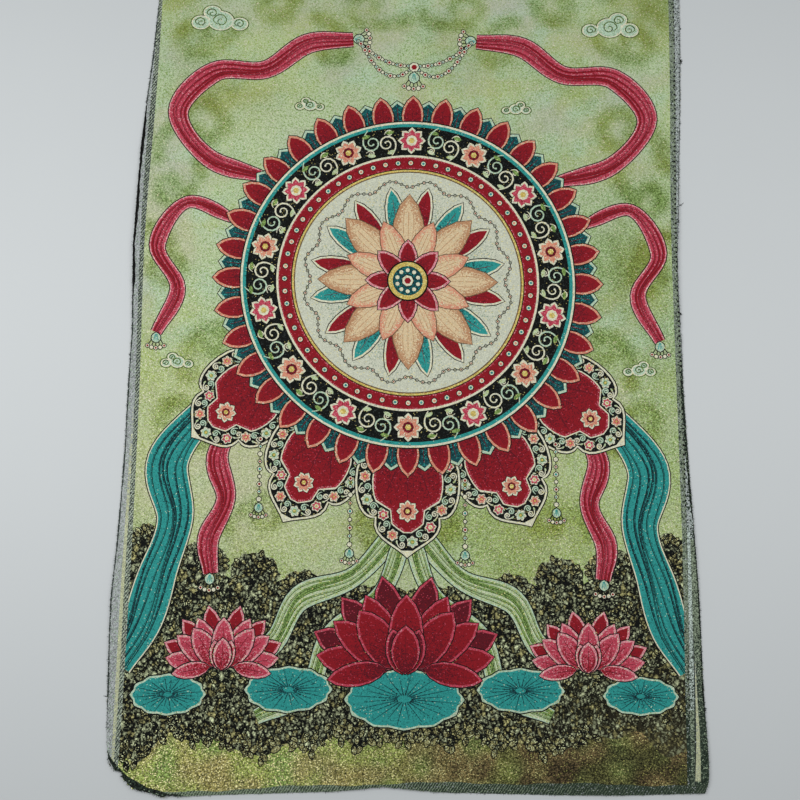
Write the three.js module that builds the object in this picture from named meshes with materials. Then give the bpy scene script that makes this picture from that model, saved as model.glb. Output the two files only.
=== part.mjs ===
// Woven thangka panel: one cut length of figured brocade, lying flat and face up.
//
// Millimetres. +X runs across the cloth to the right, +Y up the picture and +Z up.
// The origin is under the middle of the panel, on the surface that it rests on.
//
// The cloth was cut by hand beside the woven picture, so its sides wander, its foot
// is wavy and its lower left corner is torn away. It touches the surface all over its
// middle and lifts a little at a few places along its edges.

import * as THREE from 'three';

const PANEL_LENGTH = 900;
const CLOTH_THICKNESS = 1.2;
const COLUMNS = 22;

// The foot's waves die out at this height.
const FOOT_WAVE_REACH = 60;

// The two cut sides, as distances across from the picture's middle line.
// Below 34 mm the left side is the torn corner.
const SIDES = [
  { up: 0, left: -246, right: 308 },
  { up: 4, left: -257, right: 309 },
  { up: 7, left: -274, right: 310 },
  { up: 10, left: -277, right: 311 },
  { up: 16, left: -284, right: 312 },
  { up: 22, left: -286, right: 312.5 },
  { up: 25, left: -295, right: 312.5 },
  { up: 34, left: -301, right: 312.5 },
  { up: 64, left: -304, right: 312 },
  { up: 94, left: -305.5, right: 310.5 },
  { up: 150, left: -307, right: 309 },
  { up: 195, left: -308, right: 308 },
  { up: 245, left: -305.5, right: 305.5 },
  { up: 300, left: -304, right: 302.5 },
  { up: 363, left: -303, right: 299.5 },
  { up: 425, left: -303.5, right: 296.5 },
  { up: 480, left: -302.5, right: 295.5 },
  { up: 530, left: -304.5, right: 293 },
  { up: 575, left: -306.5, right: 292.5 },
  { up: 630, left: -305.5, right: 295.5 },
  { up: 690, left: -304.5, right: 298 },
  { up: 745, left: -301.5, right: 300.5 },
  { up: 810, left: -297, right: 302 },
  { up: 860, left: -294.5, right: 302.5 },
  { up: PANEL_LENGTH, left: -293, right: 303 },
];

// The cut foot: how far the cloth's lower edge stands above its lowest point.
const FOOT = [
  { across: -310, up: 0 },
  { across: -246, up: 0 },
  { across: -153, up: 4 },
  { across: -73, up: 8 },
  { across: -18, up: 14 },
  { across: 11, up: 11.5 },
  { across: 39, up: 9 },
  { across: 150, up: 8.5 },
  { across: 242, up: 10 },
  { across: 313, up: 13.5 },
];

// Where the cloth stands off the surface: a soft rise of this height round a centre,
// reaching so far across and so far up.
const LIFTS = [
  { across: -306, up: 600, reachAcross: 60, reachUp: 190, rise: 3.2 },
  { across: -300, up: 190, reachAcross: 45, reachUp: 120, rise: 2.0 },
  { across: -262, up: 6, reachAcross: 75, reachUp: 60, rise: 3.6 },
  { across: -18, up: 12, reachAcross: 95, reachUp: 55, rise: 3.0 },
  { across: 205, up: 8, reachAcross: 80, reachUp: 45, rise: 1.6 },
  { across: 310, up: 40, reachAcross: 60, reachUp: 80, rise: 2.4 },
  { across: 312, up: 260, reachAcross: 50, reachUp: 110, rise: 2.0 },
  { across: 294, up: 570, reachAcross: 55, reachUp: 140, rise: 3.4 },
  { across: 40, up: 900, reachAcross: 140, reachUp: 45, rise: 1.8 },
];

// Straight-line reading of a table at a place between its rows.
function readTable(table, key, value, at) {
  const last = table.length - 1;
  if (at <= table[0][key]) return table[0][value];
  if (at >= table[last][key]) return table[last][value];
  const next = table.findIndex((row) => row[key] > at);
  const low = table[next - 1];
  const high = table[next];
  const share = (at - low[key]) / (high[key] - low[key]);
  return low[value] + share * (high[value] - low[value]);
}

// 1 at the centre, falling smoothly to 0 at a distance of 1.
function softRise(distance) {
  return distance < 1 ? (1 - distance ** 2) ** 2 : 0;
}

function liftAt(x, y) {
  return LIFTS.reduce((height, lift) => {
    const distance = Math.hypot((x - lift.across) / lift.reachAcross, (y - lift.up) / lift.reachUp);
    return height + lift.rise * softRise(distance);
  }, 0);
}

// The heights of the grid's rows: those of the table, and others between the far ones.
function rowHeights(longestStep) {
  const heights = [];
  SIDES.forEach((row, i) => {
    heights.push(row.up);
    if (i === SIDES.length - 1) return;
    const gap = SIDES[i + 1].up - row.up;
    const parts = Math.ceil(gap / longestStep);
    for (let k = 1; k < parts; k++) heights.push(row.up + (gap * k) / parts);
  });
  return heights;
}

// A closed sheet: an upper and a lower skin on one grid, and a rim round the cut edge.
function sheetGeometry() {
  const rows = rowHeights(40);
  const points = [];
  for (const thickness of [0, CLOTH_THICKNESS]) {
    for (const up of rows) {
      const left = readTable(SIDES, 'up', 'left', up);
      const right = readTable(SIDES, 'up', 'right', up);
      const waveShare = Math.max(0, 1 - up / FOOT_WAVE_REACH);
      for (let c = 0; c <= COLUMNS; c++) {
        const x = left + ((right - left) * c) / COLUMNS;
        const y = up + waveShare * readTable(FOOT, 'across', 'up', x);
        points.push(x, y, liftAt(x, y) + thickness);
      }
    }
  }

  const width = COLUMNS + 1;
  const skin = rows.length * width;
  const index = [];
  const addQuad = (a, b, c, d) => index.push(a, b, c, a, c, d);
  for (let r = 0; r < rows.length - 1; r++) {
    for (let c = 0; c < COLUMNS; c++) {
      const a = r * width + c;
      addQuad(a + width, a + width + 1, a + 1, a);
      addQuad(skin + a, skin + a + 1, skin + a + width + 1, skin + a + width);
    }
  }

  const rim = [];
  for (let c = 0; c < COLUMNS; c++) rim.push(c);
  for (let r = 0; r < rows.length - 1; r++) rim.push(r * width + COLUMNS);
  for (let c = COLUMNS; c > 0; c--) rim.push((rows.length - 1) * width + c);
  for (let r = rows.length - 1; r > 0; r--) rim.push(r * width);
  rim.forEach((a, i) => {
    const b = rim[(i + 1) % rim.length];
    addQuad(a, b, skin + b, skin + a);
  });

  const geometry = new THREE.BufferGeometry();
  geometry.setAttribute('position', new THREE.Float32BufferAttribute(points, 3));
  geometry.setIndex(index);
  geometry.computeVertexNormals();
  return geometry;
}

function wovenPanel() {
  const geometry = sheetGeometry();
  geometry.computeBoundingBox();
  const middle = geometry.boundingBox.getCenter(new THREE.Vector3());
  geometry.translate(-middle.x, -middle.y, 0);
  const cloth = new THREE.MeshStandardMaterial({ color: '#9bab78', roughness: 0.85, metalness: 0 });
  const panel = new THREE.Mesh(geometry, cloth);
  panel.name = 'woven_panel';
  return panel;
}

const thangka = new THREE.Group();
thangka.add(wovenPanel());

export default thangka;
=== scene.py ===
import math
from collections import namedtuple

import bpy
import numpy as np
from bpy.props import FloatProperty, FloatVectorProperty, IntProperty, PointerProperty
from mathutils import Matrix, Vector
from mathutils.bvhtree import BVHTree
from mathutils.geometry import delaunay_2d_cdt


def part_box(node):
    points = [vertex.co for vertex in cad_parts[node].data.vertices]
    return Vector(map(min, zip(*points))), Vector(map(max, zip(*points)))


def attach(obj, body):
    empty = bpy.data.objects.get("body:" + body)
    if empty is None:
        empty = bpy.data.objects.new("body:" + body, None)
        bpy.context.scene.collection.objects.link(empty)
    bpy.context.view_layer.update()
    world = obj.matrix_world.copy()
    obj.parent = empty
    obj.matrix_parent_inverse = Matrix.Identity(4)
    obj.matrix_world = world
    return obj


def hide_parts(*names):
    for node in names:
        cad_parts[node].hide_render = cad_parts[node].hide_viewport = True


bl_info = {
    "name": "Woven Thangka Panel",
    "version": (1, 0, 0),
    "blender": (4, 5, 0),
    "location": "3D View > Sidebar > Textile",
    "description": "A cut panel of figured brocade with its raw yarn ends, on a plain stage",
    "category": "Add Mesh",
}

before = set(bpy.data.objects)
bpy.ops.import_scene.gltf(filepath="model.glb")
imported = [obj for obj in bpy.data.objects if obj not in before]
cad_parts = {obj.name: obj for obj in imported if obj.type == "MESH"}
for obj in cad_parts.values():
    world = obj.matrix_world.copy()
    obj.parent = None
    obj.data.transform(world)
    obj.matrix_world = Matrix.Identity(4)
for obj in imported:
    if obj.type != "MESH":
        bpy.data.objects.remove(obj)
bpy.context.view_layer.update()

# The drawing of the woven picture is in millimetres: p across from its middle line and
# q up from its lower edge. Lying places are x across and v up from the cloth's lowest point.
MM = 0.001
TURN = 2 * math.pi
PANEL_NODE = "woven_panel"
PANEL_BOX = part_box(PANEL_NODE)
# The picture's middle line stands this far beside the middle of the cut cloth.
PICTURE_MIDDLE = -2.25
PICTURE_HALF = 290.0


def yarn_colour(code):
    """A linear colour from a six-figure code."""
    parts = (int(code[i : i + 2], 16) / 255 for i in (0, 2, 4))
    return tuple(c / 12.92 if c <= 0.04045 else ((c + 0.055) / 1.055) ** 2.4 for c in parts)


# ---------------- yarns
YARNS = {
    "black": "0a0c0a",
    "charcoal": "343b39",
    "slate": "84937a",
    "deep_slate": "2e3a2f",
    "grey": "9aa19f",
    "pearl": "a4a9a8",
    "moss": "788470",
    "hoar": "9da893",
    "frost": "a9b6ad",
    "oat": "b6ba98",
    "drab": "939978",
    "dusky": "8e8a5c",
    "straw": "ced3a4",
    "ivory": "c9ccb8",
    "sage": "8fa18c",
    "dove": "b9b9ab",
    "cream": "dad8bd",
    "pale_green": "b8c9a2",
    "green": "86a35c",
    "deep_green": "4f6b30",
    "olive": "7d7f36",
    "lime": "a8b44e",
    "mint": "b2cbb2",
    "teal": "2f938d",
    "deep_teal": "16474b",
    "crimson": "8b1822",
    "maroon": "5c1520",
    "rose": "bb4658",
    "pink": "d99198",
    "salmon": "d38f74",
    "beige": "d8c19a",
    "tan": "b88a66",
    "khaki": "b3a767",
    "brown": "66503a",
    "gold": "cbb05a",
    "glitter": "e6da92",
}

# What is woven in each area: its main yarn, the yarn that it is mixed with and its share,
# the yarn of its glints and their share, how lively its points are, and how they are set.
Area = namedtuple("Area", "main second share glint glints liveliness setting", defaults=["scattered"])
AREAS = {
    "ground": Area("pale_green", "green", 0.35, "cream", 0.05, 0.7),
    "black": Area("black", "charcoal", 0.22, "khaki", 0.02, 0.9),
    "jet": Area("black", "charcoal", 0.1, "charcoal", 0.0, 0.4),
    "crimson": Area("crimson", "maroon", 0.12, "rose", 0.02, 0.42),
    "crimson_edge": Area("crimson", "rose", 0.38, "pink", 0.12, 0.8),
    "maroon": Area("maroon", "crimson", 0.3, "rose", 0.03, 0.6),
    "rose": Area("rose", "crimson", 0.24, "pink", 0.08, 0.65),
    "pink": Area("pink", "rose", 0.28, "cream", 0.12, 0.75),
    "salmon": Area("salmon", "rose", 0.16, "cream", 0.1, 0.7),
    "teal": Area("teal", "deep_teal", 0.18, "mint", 0.015, 0.6),
    "deep_teal": Area("deep_teal", "black", 0.24, "teal", 0.12, 0.9),
    "beige": Area("beige", "tan", 0.12, "cream", 0.02, 0.36),
    "blush": Area("beige", "salmon", 0.3, "cream", 0.03, 0.4),
    "tan": Area("tan", "beige", 0.3, "glitter", 0.03, 0.5),
    "cream": Area("cream", "grey", 0.14, "glitter", 0.04, 0.6),
    "ivory": Area("ivory", "sage", 0.1, "glitter", 0.03, 0.5),
    "sash": Area("pale_green", "lime", 0.25, "cream", 0.1, 0.7),
    "mint": Area("mint", "green", 0.2, "cream", 0.08, 0.7),
    "leaf": Area("green", "deep_green", 0.4, "glitter", 0.04, 0.8),
    "fern": Area("deep_green", "black", 0.3, "green", 0.1, 0.7),
    "gold": Area("gold", "khaki", 0.3, "glitter", 0.2, 0.8),
    "brown": Area("brown", "black", 0.2, "tan", 0.06, 0.6),
    "bank": Area("black", "drab", 0.6, "dusky", 0.3, 0.6, "leafy"),
    "bank_foot": Area("black", "drab", 0.7, "dusky", 0.5, 0.6, "leafy"),
    "bank_leaf": Area("dusky", "black", 0.5, "straw", 0.15, 1.1),
    "foot_twill": Area("slate", "deep_slate", 0.42, "grey", 0.03, 0.5, "twill"),
    "edge_twill": Area("hoar", "charcoal", 0.6, "grey", 0.05, 1.9, "twill"),
    "edge_speckle": Area("moss", "deep_slate", 0.2, "grey", 0.08, 2.0, "speckled"),
    "edge_dots": Area("moss", "black", 0.5, "grey", 0.05, 1.0, "dotted"),
    "edge_spots": Area("grey", "black", 0.2, "frost", 0.05, 1.0, "dotted"),
    "edge_dashes": Area("frost", "deep_slate", 0.3, "frost", 0.1, 2.1),
    "edge_dark": Area("charcoal", "deep_slate", 0.35, "grey", 0.06, 0.9),
    # The frayed edge: the torn corner, and lines along the right edge that are partly painted shadow.
    "edge_frayed": Area("deep_slate", "black", 0.5, "slate", 0.05, 0.9),
    "edge_pale": Area("pearl", "deep_slate", 0.1, "sage", 0.12, 1.3, "twill"),
    "edge_grain": Area("grey", "deep_slate", 0.3, "frost", 0.15, 1.9, "speckled"),
    "edge_stripe": Area("oat", "grey", 0.2, "straw", 0.06, 0.8),
    "edge_green": Area("moss", "deep_slate", 0.6, "slate", 0.1, 2.3),
}
SETTINGS_OF_POINTS = {"scattered": 0.0, "twill": 1.0, "dotted": 2.0, "speckled": 3.0, "leafy": 4.0}


# ---------------- settings
def a_length(name, text, value):
    return FloatProperty(name=name, description=text, default=value, unit="LENGTH", precision=4)


def a_share(name, text, value):
    return FloatProperty(name=name, description=text, default=value, min=0.0, max=1.0, subtype="FACTOR")


def a_count(name, text, value):
    return IntProperty(name=name, description=text, default=value, min=1)


def an_angle(name, text, degrees):
    return FloatProperty(name=name, description=text, default=math.radians(degrees), subtype="ANGLE")


def a_power(name, text, value):
    return FloatProperty(name=name, description=text, default=value, unit="POWER")


def a_colour(name, text, code):
    return FloatVectorProperty(
        name=name, description=text, default=yarn_colour(code), min=0.0, max=1.0, subtype="COLOR"
    )


class YarnColours(bpy.types.PropertyGroup):
    """The colour of each yarn in the cloth"""

    __annotations__ = {
        key: a_colour(key.replace("_", " ").capitalize(), f"Colour of the {key.replace('_', ' ')} yarn", code)
        for key, code in YARNS.items()
    }


class ClothSizes(bpy.types.PropertyGroup):
    """Sizes of the cloth and of its weave"""

    thickness: a_length("Thickness", "Thickness of the cloth", 0.0012)
    point_across: a_length("Point across", "Width of one coloured point of the weave", 0.0010)
    point_along: a_length("Point along", "Height of one coloured point of the weave", 0.0008)
    rib_pitch: a_length("Rib pitch", "Distance between two weft ribs", 0.0006)
    relief: a_length("Relief", "Height of the yarns over the ground of the weave", 0.00012)
    mesh_step: a_length("Mesh step", "Largest distance between points of the plain cloth", 0.008)
    contrast: a_share("Contrast", "How much single points differ in brightness", 0.34)
    leaf_pitch: a_length("Leaf pitch", "Distance between two small leaves of the dark bank", 0.0041)
    seed: a_count("Seed", "Seed of the mottled ground and of the leaves", 7)


class MotifSizes(bpy.types.PropertyGroup):
    """Sizes and numbers of the woven motifs"""

    medallion_radius: a_length("Medallion radius", "Radius of the round motif", 0.212)
    medallion_height: a_length("Medallion height", "Height of its middle in the picture", 0.525)
    rim_petals: a_count("Rim petals", "Petals round the outside of the medallion", 36)
    blossoms: a_count("Blossoms", "Blossoms in the medallion's scroll band", 14)
    ring_petals: a_count("Ring petals", "Large petals in the medallion's ring", 16)
    beads: a_count("Beads", "Beads round the medallion's middle", 60)
    leaf_length: a_length("Leaf length", "Length of a leaf in the bank of leaves", 0.0078)


class EndSizes(bpy.types.PropertyGroup):
    """Sizes of the raw yarn ends along the cut edges"""

    spacing: a_length("Spacing", "Distance between two yarn ends", 0.0013)
    reach: a_length("Reach", "Usual length of a yarn end", 0.0009)
    radius: a_length("Radius", "Radius of a yarn", 0.00016)
    seed: a_count("Seed", "Seed of the yarn ends", 11)


class StageSizes(bpy.types.PropertyGroup):
    """The floor, the camera and the light"""

    floor_colour: a_colour("Floor", "Colour of the floor", "ccd0d1")
    floor_side: a_length("Floor side", "Side of the square floor", 6.0)
    camera_tilt: an_angle("Camera tilt", "Angle between the view and straight down", 7.4)
    camera_roll: an_angle("Camera roll", "Turn of the camera about its view", 1.06)
    camera_distance: a_length("Camera distance", "Distance from the camera to its aim", 0.926)
    lens: FloatProperty(name="Lens", description="Focal length of the camera", default=38.61, unit="CAMERA")
    left_power: a_power("Left light", "Power of the soft light at the left", 6.6)
    right_power: a_power("Right light", "Power of the soft light at the right", 4.5)
    sky: a_share("Room light", "Strength of the light from all round", 0.35)


# ---------------- how the cloth lies
# Where the woven picture wanders sideways, over what height and how far.
Sway = namedtuple("Sway", "up tall by")
SWAYS = (Sway(585, 135, -3.8), Sway(200, 130, 1.2))

# The picture's lower edge rises gently to the right, and hangs down at the left.
FOOT_RISE = 0.0098
FOOT_HANG = 0.048
HANG_START = -10
FOOT_HEIGHT = 18.0
FOOT_FADE = 250.0


def soft_bell(distance):
    """1 in the middle, and fading softly on both sides."""
    return np.exp(-(distance**2))


def sway(v):
    """How far the woven picture wanders sideways at a height."""
    return sum(bend.by * soft_bell((v - bend.up) / bend.tall) for bend in SWAYS)


def foot_line(p):
    """Height of the picture's lower edge: nearly straight, and hanging down at the left."""
    return FOOT_RISE * p - FOOT_HANG * np.maximum(0, HANG_START - p)


def foot_share(q):
    """How much of the lower edge's slope is left at a height."""
    return np.clip(1 - q / FOOT_FADE, 0, 1.1) ** 2


def lie(points):
    """Lying places of places in the woven picture."""
    p, q = np.asarray(points, float).T
    v = q + FOOT_HEIGHT + foot_line(p) * foot_share(q)
    return np.stack([p + sway(v), v], axis=1)


def unlie(points):
    """Places in the woven picture of lying places."""
    x, v = np.asarray(points, float).T
    p = x - sway(v)
    q = v - FOOT_HEIGHT
    for _ in range(4):
        q = v - FOOT_HEIGHT - foot_line(p) * foot_share(q)
    return np.stack([p, q], axis=1)


def to_frame(points):
    """The frame's metres, from lying places."""
    low = PANEL_BOX[0]
    x, v = np.asarray(points, float).T
    return (x + PICTURE_MIDDLE) * MM, low[1] + v * MM


def one_loop(following):
    """The one closed loop that leads through every vertex, from the vertex that follows each."""
    loop = [next(iter(following))]
    while following[loop[-1]] != loop[0]:
        loop.append(following[loop[-1]])
    if len(loop) != len(following):
        raise RuntimeError("The cloth's edge is not one loop")
    return loop


class CutCloth:
    """The cut outline and the heights of the cloth, read from the frame's solid."""

    HEIGHT_STEP = 8.0
    SMOOTHINGS = 5

    def __init__(self):
        mesh = bpy.data.objects[PANEL_NODE].data
        places = np.array([v.co for v in mesh.vertices])
        places = np.stack(
            [places[:, 0] / MM - PICTURE_MIDDLE, (places[:, 1] - PANEL_BOX[0][1]) / MM, places[:, 2] / MM], 1
        )
        places, shared = np.unique(places.round(3), axis=0, return_inverse=True)
        shared = shared.ravel()
        top = [[int(shared[v]) for v in f.vertices] for f in mesh.polygons if f.normal.z > 0.5]
        self.outline = places[self.border(top)][:, :2]
        self.tree = BVHTree.FromPolygons([Vector(c) for c in places], top)
        self.heights = self.height_grid()

    @staticmethod
    def border(faces):
        """The one closed loop of edges that only one face uses."""
        edges = {}
        for face in faces:
            for a, b in zip(face, face[1:] + face[:1]):
                edges[a] = edges.get(a, set()) | {b}
        return one_loop({a: b for a, ends in edges.items() for b in ends if a not in edges.get(b, ())})

    def height_grid(self):
        """Heights of the upper skin on a square grid, made smooth across its facets."""
        low, high = self.outline.min(0), self.outline.max(0)
        columns, rows = (np.ceil((high - low) / self.HEIGHT_STEP) + 1).astype(int)
        grid = np.zeros((rows, columns))
        for r, c in np.ndindex(rows, columns):
            x, y = low + np.array([c, r]) * self.HEIGHT_STEP
            grid[r, c] = self.tree.find_nearest(Vector((x, y, 1.0)))[0].z
        for _ in range(self.SMOOTHINGS):
            wide = np.pad(grid, 1, mode="edge")
            grid = (
                wide[1:-1, 1:-1] * 2 + wide[:-2, 1:-1] + wide[2:, 1:-1] + wide[1:-1, :-2] + wide[1:-1, 2:]
            ) / 6
        self.low = low
        return grid

    def height(self, points):
        """Heights of the upper skin at lying places, in millimetres."""
        at = (np.asarray(points, float) - self.low) / self.HEIGHT_STEP
        rows, columns = self.heights.shape
        c = np.clip(at[:, 0], 0, columns - 1.001)
        r = np.clip(at[:, 1], 0, rows - 1.001)
        c0, r0 = c.astype(int), r.astype(int)
        fc, fr = c - c0, r - r0
        g = self.heights
        low = g[r0, c0] * (1 - fc) + g[r0, c0 + 1] * fc
        high = g[r0 + 1, c0] * (1 - fc) + g[r0 + 1, c0 + 1] * fc
        return low * (1 - fr) + high * fr


# ---------------- lines and shapes
def placed(points, at, angle=0.0):
    """Points turned about the origin and moved."""
    c, s = math.cos(angle), math.sin(angle)
    return np.asarray(points, float) @ np.array([[c, s], [-s, c]]) + np.asarray(at, float)


def spot(across, up, at, angle):
    """One place, turned about the origin and moved."""
    return placed([(across, up)], at, angle)[0]


def around(at, radius, angle):
    """The place at a radius from a middle, with the angle counted from straight up."""
    return (at[0] - radius * math.sin(angle), at[1] + radius * math.cos(angle))


def bow(a, b, c, d, n):
    """A cubic curve from a to d, drawn towards b and c."""
    t = np.linspace(0, 1, n)[:, None]
    a, b, c, d = (np.asarray(point, float) for point in (a, b, c, d))
    return (1 - t) ** 3 * a + 3 * (1 - t) ** 2 * t * b + 3 * (1 - t) * t**2 * c + t**3 * d


def bow_in(wide, long, guides, n):
    """A cubic curve whose four guiding points are shares of a width and a length."""
    return bow(*(np.array(guides) * (wide, long)), n)


def through(points, step):
    """A smooth line through the points."""
    p = np.asarray(points, float)
    p = np.vstack([2 * p[0] - p[1], p, 2 * p[-1] - p[-2]])
    parts = []
    for k in range(1, len(p) - 2):
        n = max(2, int(np.linalg.norm(p[k + 1] - p[k]) / step))
        t = np.linspace(0, 1, n, endpoint=False)[:, None]
        leave, arrive = (p[k + 1] - p[k - 1]) / 2, (p[k + 2] - p[k]) / 2
        parts.append(
            (2 * t**3 - 3 * t**2 + 1) * p[k]
            + (t**3 - 2 * t**2 + t) * leave
            + (-2 * t**3 + 3 * t**2) * p[k + 1]
            + (t**3 - t**2) * arrive
        )
    return np.vstack(parts + [p[-2][None]])


def one_long(vectors):
    """Vectors brought to a length of one."""
    return vectors / np.maximum(np.linalg.norm(vectors, axis=1, keepdims=True), 1e-9)


def sideways(path):
    """Unit vectors to the left of a path."""
    along = one_long(np.gradient(path, axis=0))
    return np.stack([-along[:, 1], along[:, 0]], axis=1)


def strip(path, width):
    """The outline of a band along a path, of one width or of one width a point."""
    half = np.broadcast_to(np.asarray(width, float) / 2, len(path))[:, None]
    side = sideways(path) * half
    return np.vstack([path + side, (path - side)[::-1]])


def full_turn(n):
    """Evenly spaced angles all round."""
    return np.linspace(0, TURN, n, endpoint=False)


def disc(at, radius, n=12, squash=1.0):
    """A round outline, of one radius or of one radius a point."""
    a = full_turn(n)
    return np.stack([at[0] + radius * np.cos(a), at[1] + radius * squash * np.sin(a)], axis=1)


def petal(long, wide, fullness=0.85, n=7):
    """A pointed petal that grows up from the origin."""
    right = bow_in(wide, long, ((0, 0), (0.95, 0.18), (fullness, 0.8), (0, 1)), n)
    return np.vstack([right, right[::-1][1:-1] * [-1, 1]])


def grown(outline, by):
    """An outline moved outwards by a distance that is small beside its size."""
    ahead = np.roll(outline, -1, axis=0)
    along = one_long(ahead - np.roll(outline, 1, axis=0))
    out = np.stack([along[:, 1], -along[:, 0]], axis=1)
    area = np.sum(outline[:, 0] * ahead[:, 1] - ahead[:, 0] * outline[:, 1])
    return outline + out * by * math.copysign(1, area)


def drawn_in(outline, by):
    """An outline moved inwards, without the points that come too near another side."""
    parts, nearest = 6, 0.93
    ahead = np.roll(outline, -1, axis=0)
    dense = np.concatenate([outline + (ahead - outline) * k / parts for k in range(parts)])
    moved = grown(outline, -by)
    gap = np.linalg.norm(moved[:, None] - dense[None], axis=2).min(1)
    return moved[gap > by * nearest]


def stations(path, number):
    """Evenly spaced places along a path, and the angle of its way on from each."""
    reached = np.r_[0, np.cumsum(np.linalg.norm(np.diff(path, axis=0), axis=1))]
    marks = (np.arange(number) + 0.5) / number * reached[-1]
    here, ahead = (
        np.stack([np.interp(marks + step, reached, path[:, k]) for k in (0, 1)], 1) for step in (0, 1)
    )
    way = ahead - here
    return here, np.arctan2(-way[:, 0], way[:, 1])


def turns_round(outline, x, y):
    """How often an outline turns round each place. The places are sorted by y."""
    x0, y0 = outline.T
    x1, y1 = np.roll(outline, -1, axis=0).T
    first, last = np.searchsorted(y, (np.minimum(y0, y1), np.maximum(y0, y1)))
    turns = np.zeros(len(y), int)
    for k in np.flatnonzero(last > first):
        level = slice(first[k], last[k])
        crossing = x0[k] + (x1[k] - x0[k]) * (y[level] - y0[k]) / (y1[k] - y0[k])
        turns[level] += (x[level] < crossing) * (1 if y1[k] > y0[k] else -1)
    return turns


def inside(outline, places):
    """Which of the places lie inside an outline."""
    order = np.argsort(places[:, 1])
    found = np.zeros(len(places), bool)
    found[order] = turns_round(outline, *places[order].T) != 0
    return found


def between(across, top, foot):
    """The outline of the area between two lines that run side by side."""
    return np.vstack([np.stack([across, top], 1), np.stack([across, foot], 1)[::-1]])


class Cartoon:
    """The picture as flat shapes in the order in which they cover each other.

    A shape is its lying outline, its area and its shading: two places, and the second
    yarn's share at each."""

    def __init__(self):
        self.shapes = []
        self.paired = False

    def fill(self, outline, area, shading=None):
        """A shape in the woven picture, with its mirror image while shapes are paired."""
        outline = np.asarray(outline, float)
        for side in (1, -1) if self.paired else (1,):
            shade = None
            if shading:
                ends = lie(np.array(shading[:2]) * [side, 1])
                shade = (ends[0], ends[1], shading[2], shading[3])
            self.shapes.append((lie(outline * [side, 1]), area, shade))

    def fill_lying(self, outline, area):
        """A shape that follows the cut edge and not the woven picture."""
        self.shapes.append((np.asarray(outline, float), area, None))

    def line(self, path, width, area):
        """A line in the woven picture, of one width or of one width a point."""
        self.fill(strip(np.asarray(path, float), width), area)

    def outlined(self, outline, area, line, edge, shading=None):
        """A shape over a line of another area, as wide as is given, that shows all round it."""
        self.fill(grown(outline, line), edge)
        self.fill(outline, area, shading)


# ---------------- motifs
PETAL_FULLNESS = 0.85
OUTLINE = 1.1


def one_petal(c, at, angle, long, wide, area, rim, veins):
    """A petal with a dark outline, a lighter rim, a shaded root and fine veins."""
    c.outlined(placed(petal(long, wide, PETAL_FULLNESS), at, angle), rim, OUTLINE, "black")
    inner = petal(long - min(3.0, long * 0.1), wide - min(2.6, wide * 0.2), PETAL_FULLNESS * 0.96)
    tip = spot(0, long, at, angle)
    c.fill(placed(inner, at, angle), area, (tuple(at), tuple(tip), 0.75, 0.0))
    for k in range(veins):
        f = 0 if veins == 1 else 2 * k / (veins - 1) - 1
        guides = ((0.12, 0.12), (0.55, 0.3), (0.55, 0.5), (0.26, 0.78 - 0.2 * abs(f)))
        vein = bow_in(f * wide, long, guides, 5)
        c.line(placed(vein, at, angle), np.linspace(0.9, 0.5, 5), "maroon")


def soft_petal(c, at, angle, long, wide, area):
    """A petal with a brown outline, whose second yarn fades from its edge to its middle."""
    c.fill(grown(placed(petal(long, wide, 0.95), at, angle), 1.0), "brown")
    for f in (0, 0.25, 0.5, 0.75):
        mix = 0.8 * (1 - f) ** 1.4
        shape = petal(long * (1 - 0.3 * f), wide * (1 - 0.75 * f), 0.95)
        root = spot(0, long * 0.1 * f, at, angle)
        c.fill(placed(shape, root, angle), area, (at, at, mix, mix))
    for f in (-1, 0, 1):
        vein = bow_in(f * wide, long, ((0, 0.3), (0.2, 0.5), (0.3, 0.6), (0.2, 0.8)), 5)
        c.line(placed(vein, at, angle), np.linspace(0.5, 0.9, 5), "tan")


def lotus(c, at, half, area, rim, back):
    """A lotus flower from the front, of a given half width."""
    x, y = at
    for body, angles, reach, wide in (
        (back, (66, 40, 14), 1.12, 0.30),
        (area, (80, 54, 27), 0.98, 0.27),
        (area, (36, 0), 0.86, 0.30),
        (area, (100,), 0.8, 0.2),
        (back, (14,), 0.54, 0.2),
        (area, (0,), 0.56, 0.25),
    ):
        drop = 0.06 * half if reach < 0.6 else 0
        for a in angles:
            for side in (1, -1) if a else (1,):
                root = (x + side * a * 0.0022 * half, y - drop)
                long = half * reach * (1 - a * 0.0012)
                one_petal(c, root, -side * math.radians(a), long, half * wide, body, rim, 1 if a > 90 else 3)


def bead(c, at, radius, core="crimson"):
    """A pale bead with a dark rim and a coloured middle."""
    c.fill(disc(at, radius + 0.9, 7), "jet")
    c.fill(disc(at, radius, 7), "cream")
    c.fill(disc(at, radius * 0.6, 6), core)


def blossom(c, at, radius, area, inner, angle, petals=8, points=5):
    """A small open flower seen from above."""
    step = TURN / petals
    wide = radius * 3.4 / petals
    for k in range(petals):
        c.outlined(placed(petal(radius, wide, 1.0, points), at, angle + k * step), "cream", 0.7, "jet")
    for k in range(petals):
        c.fill(placed(petal(radius * 0.84, wide * 0.78, 1.0, points - 1), at, angle + k * step), area)
    c.fill(disc(at, radius * 0.4, petals), inner)
    c.fill(disc(at, radius * 0.22, 6), "gold")


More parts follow.
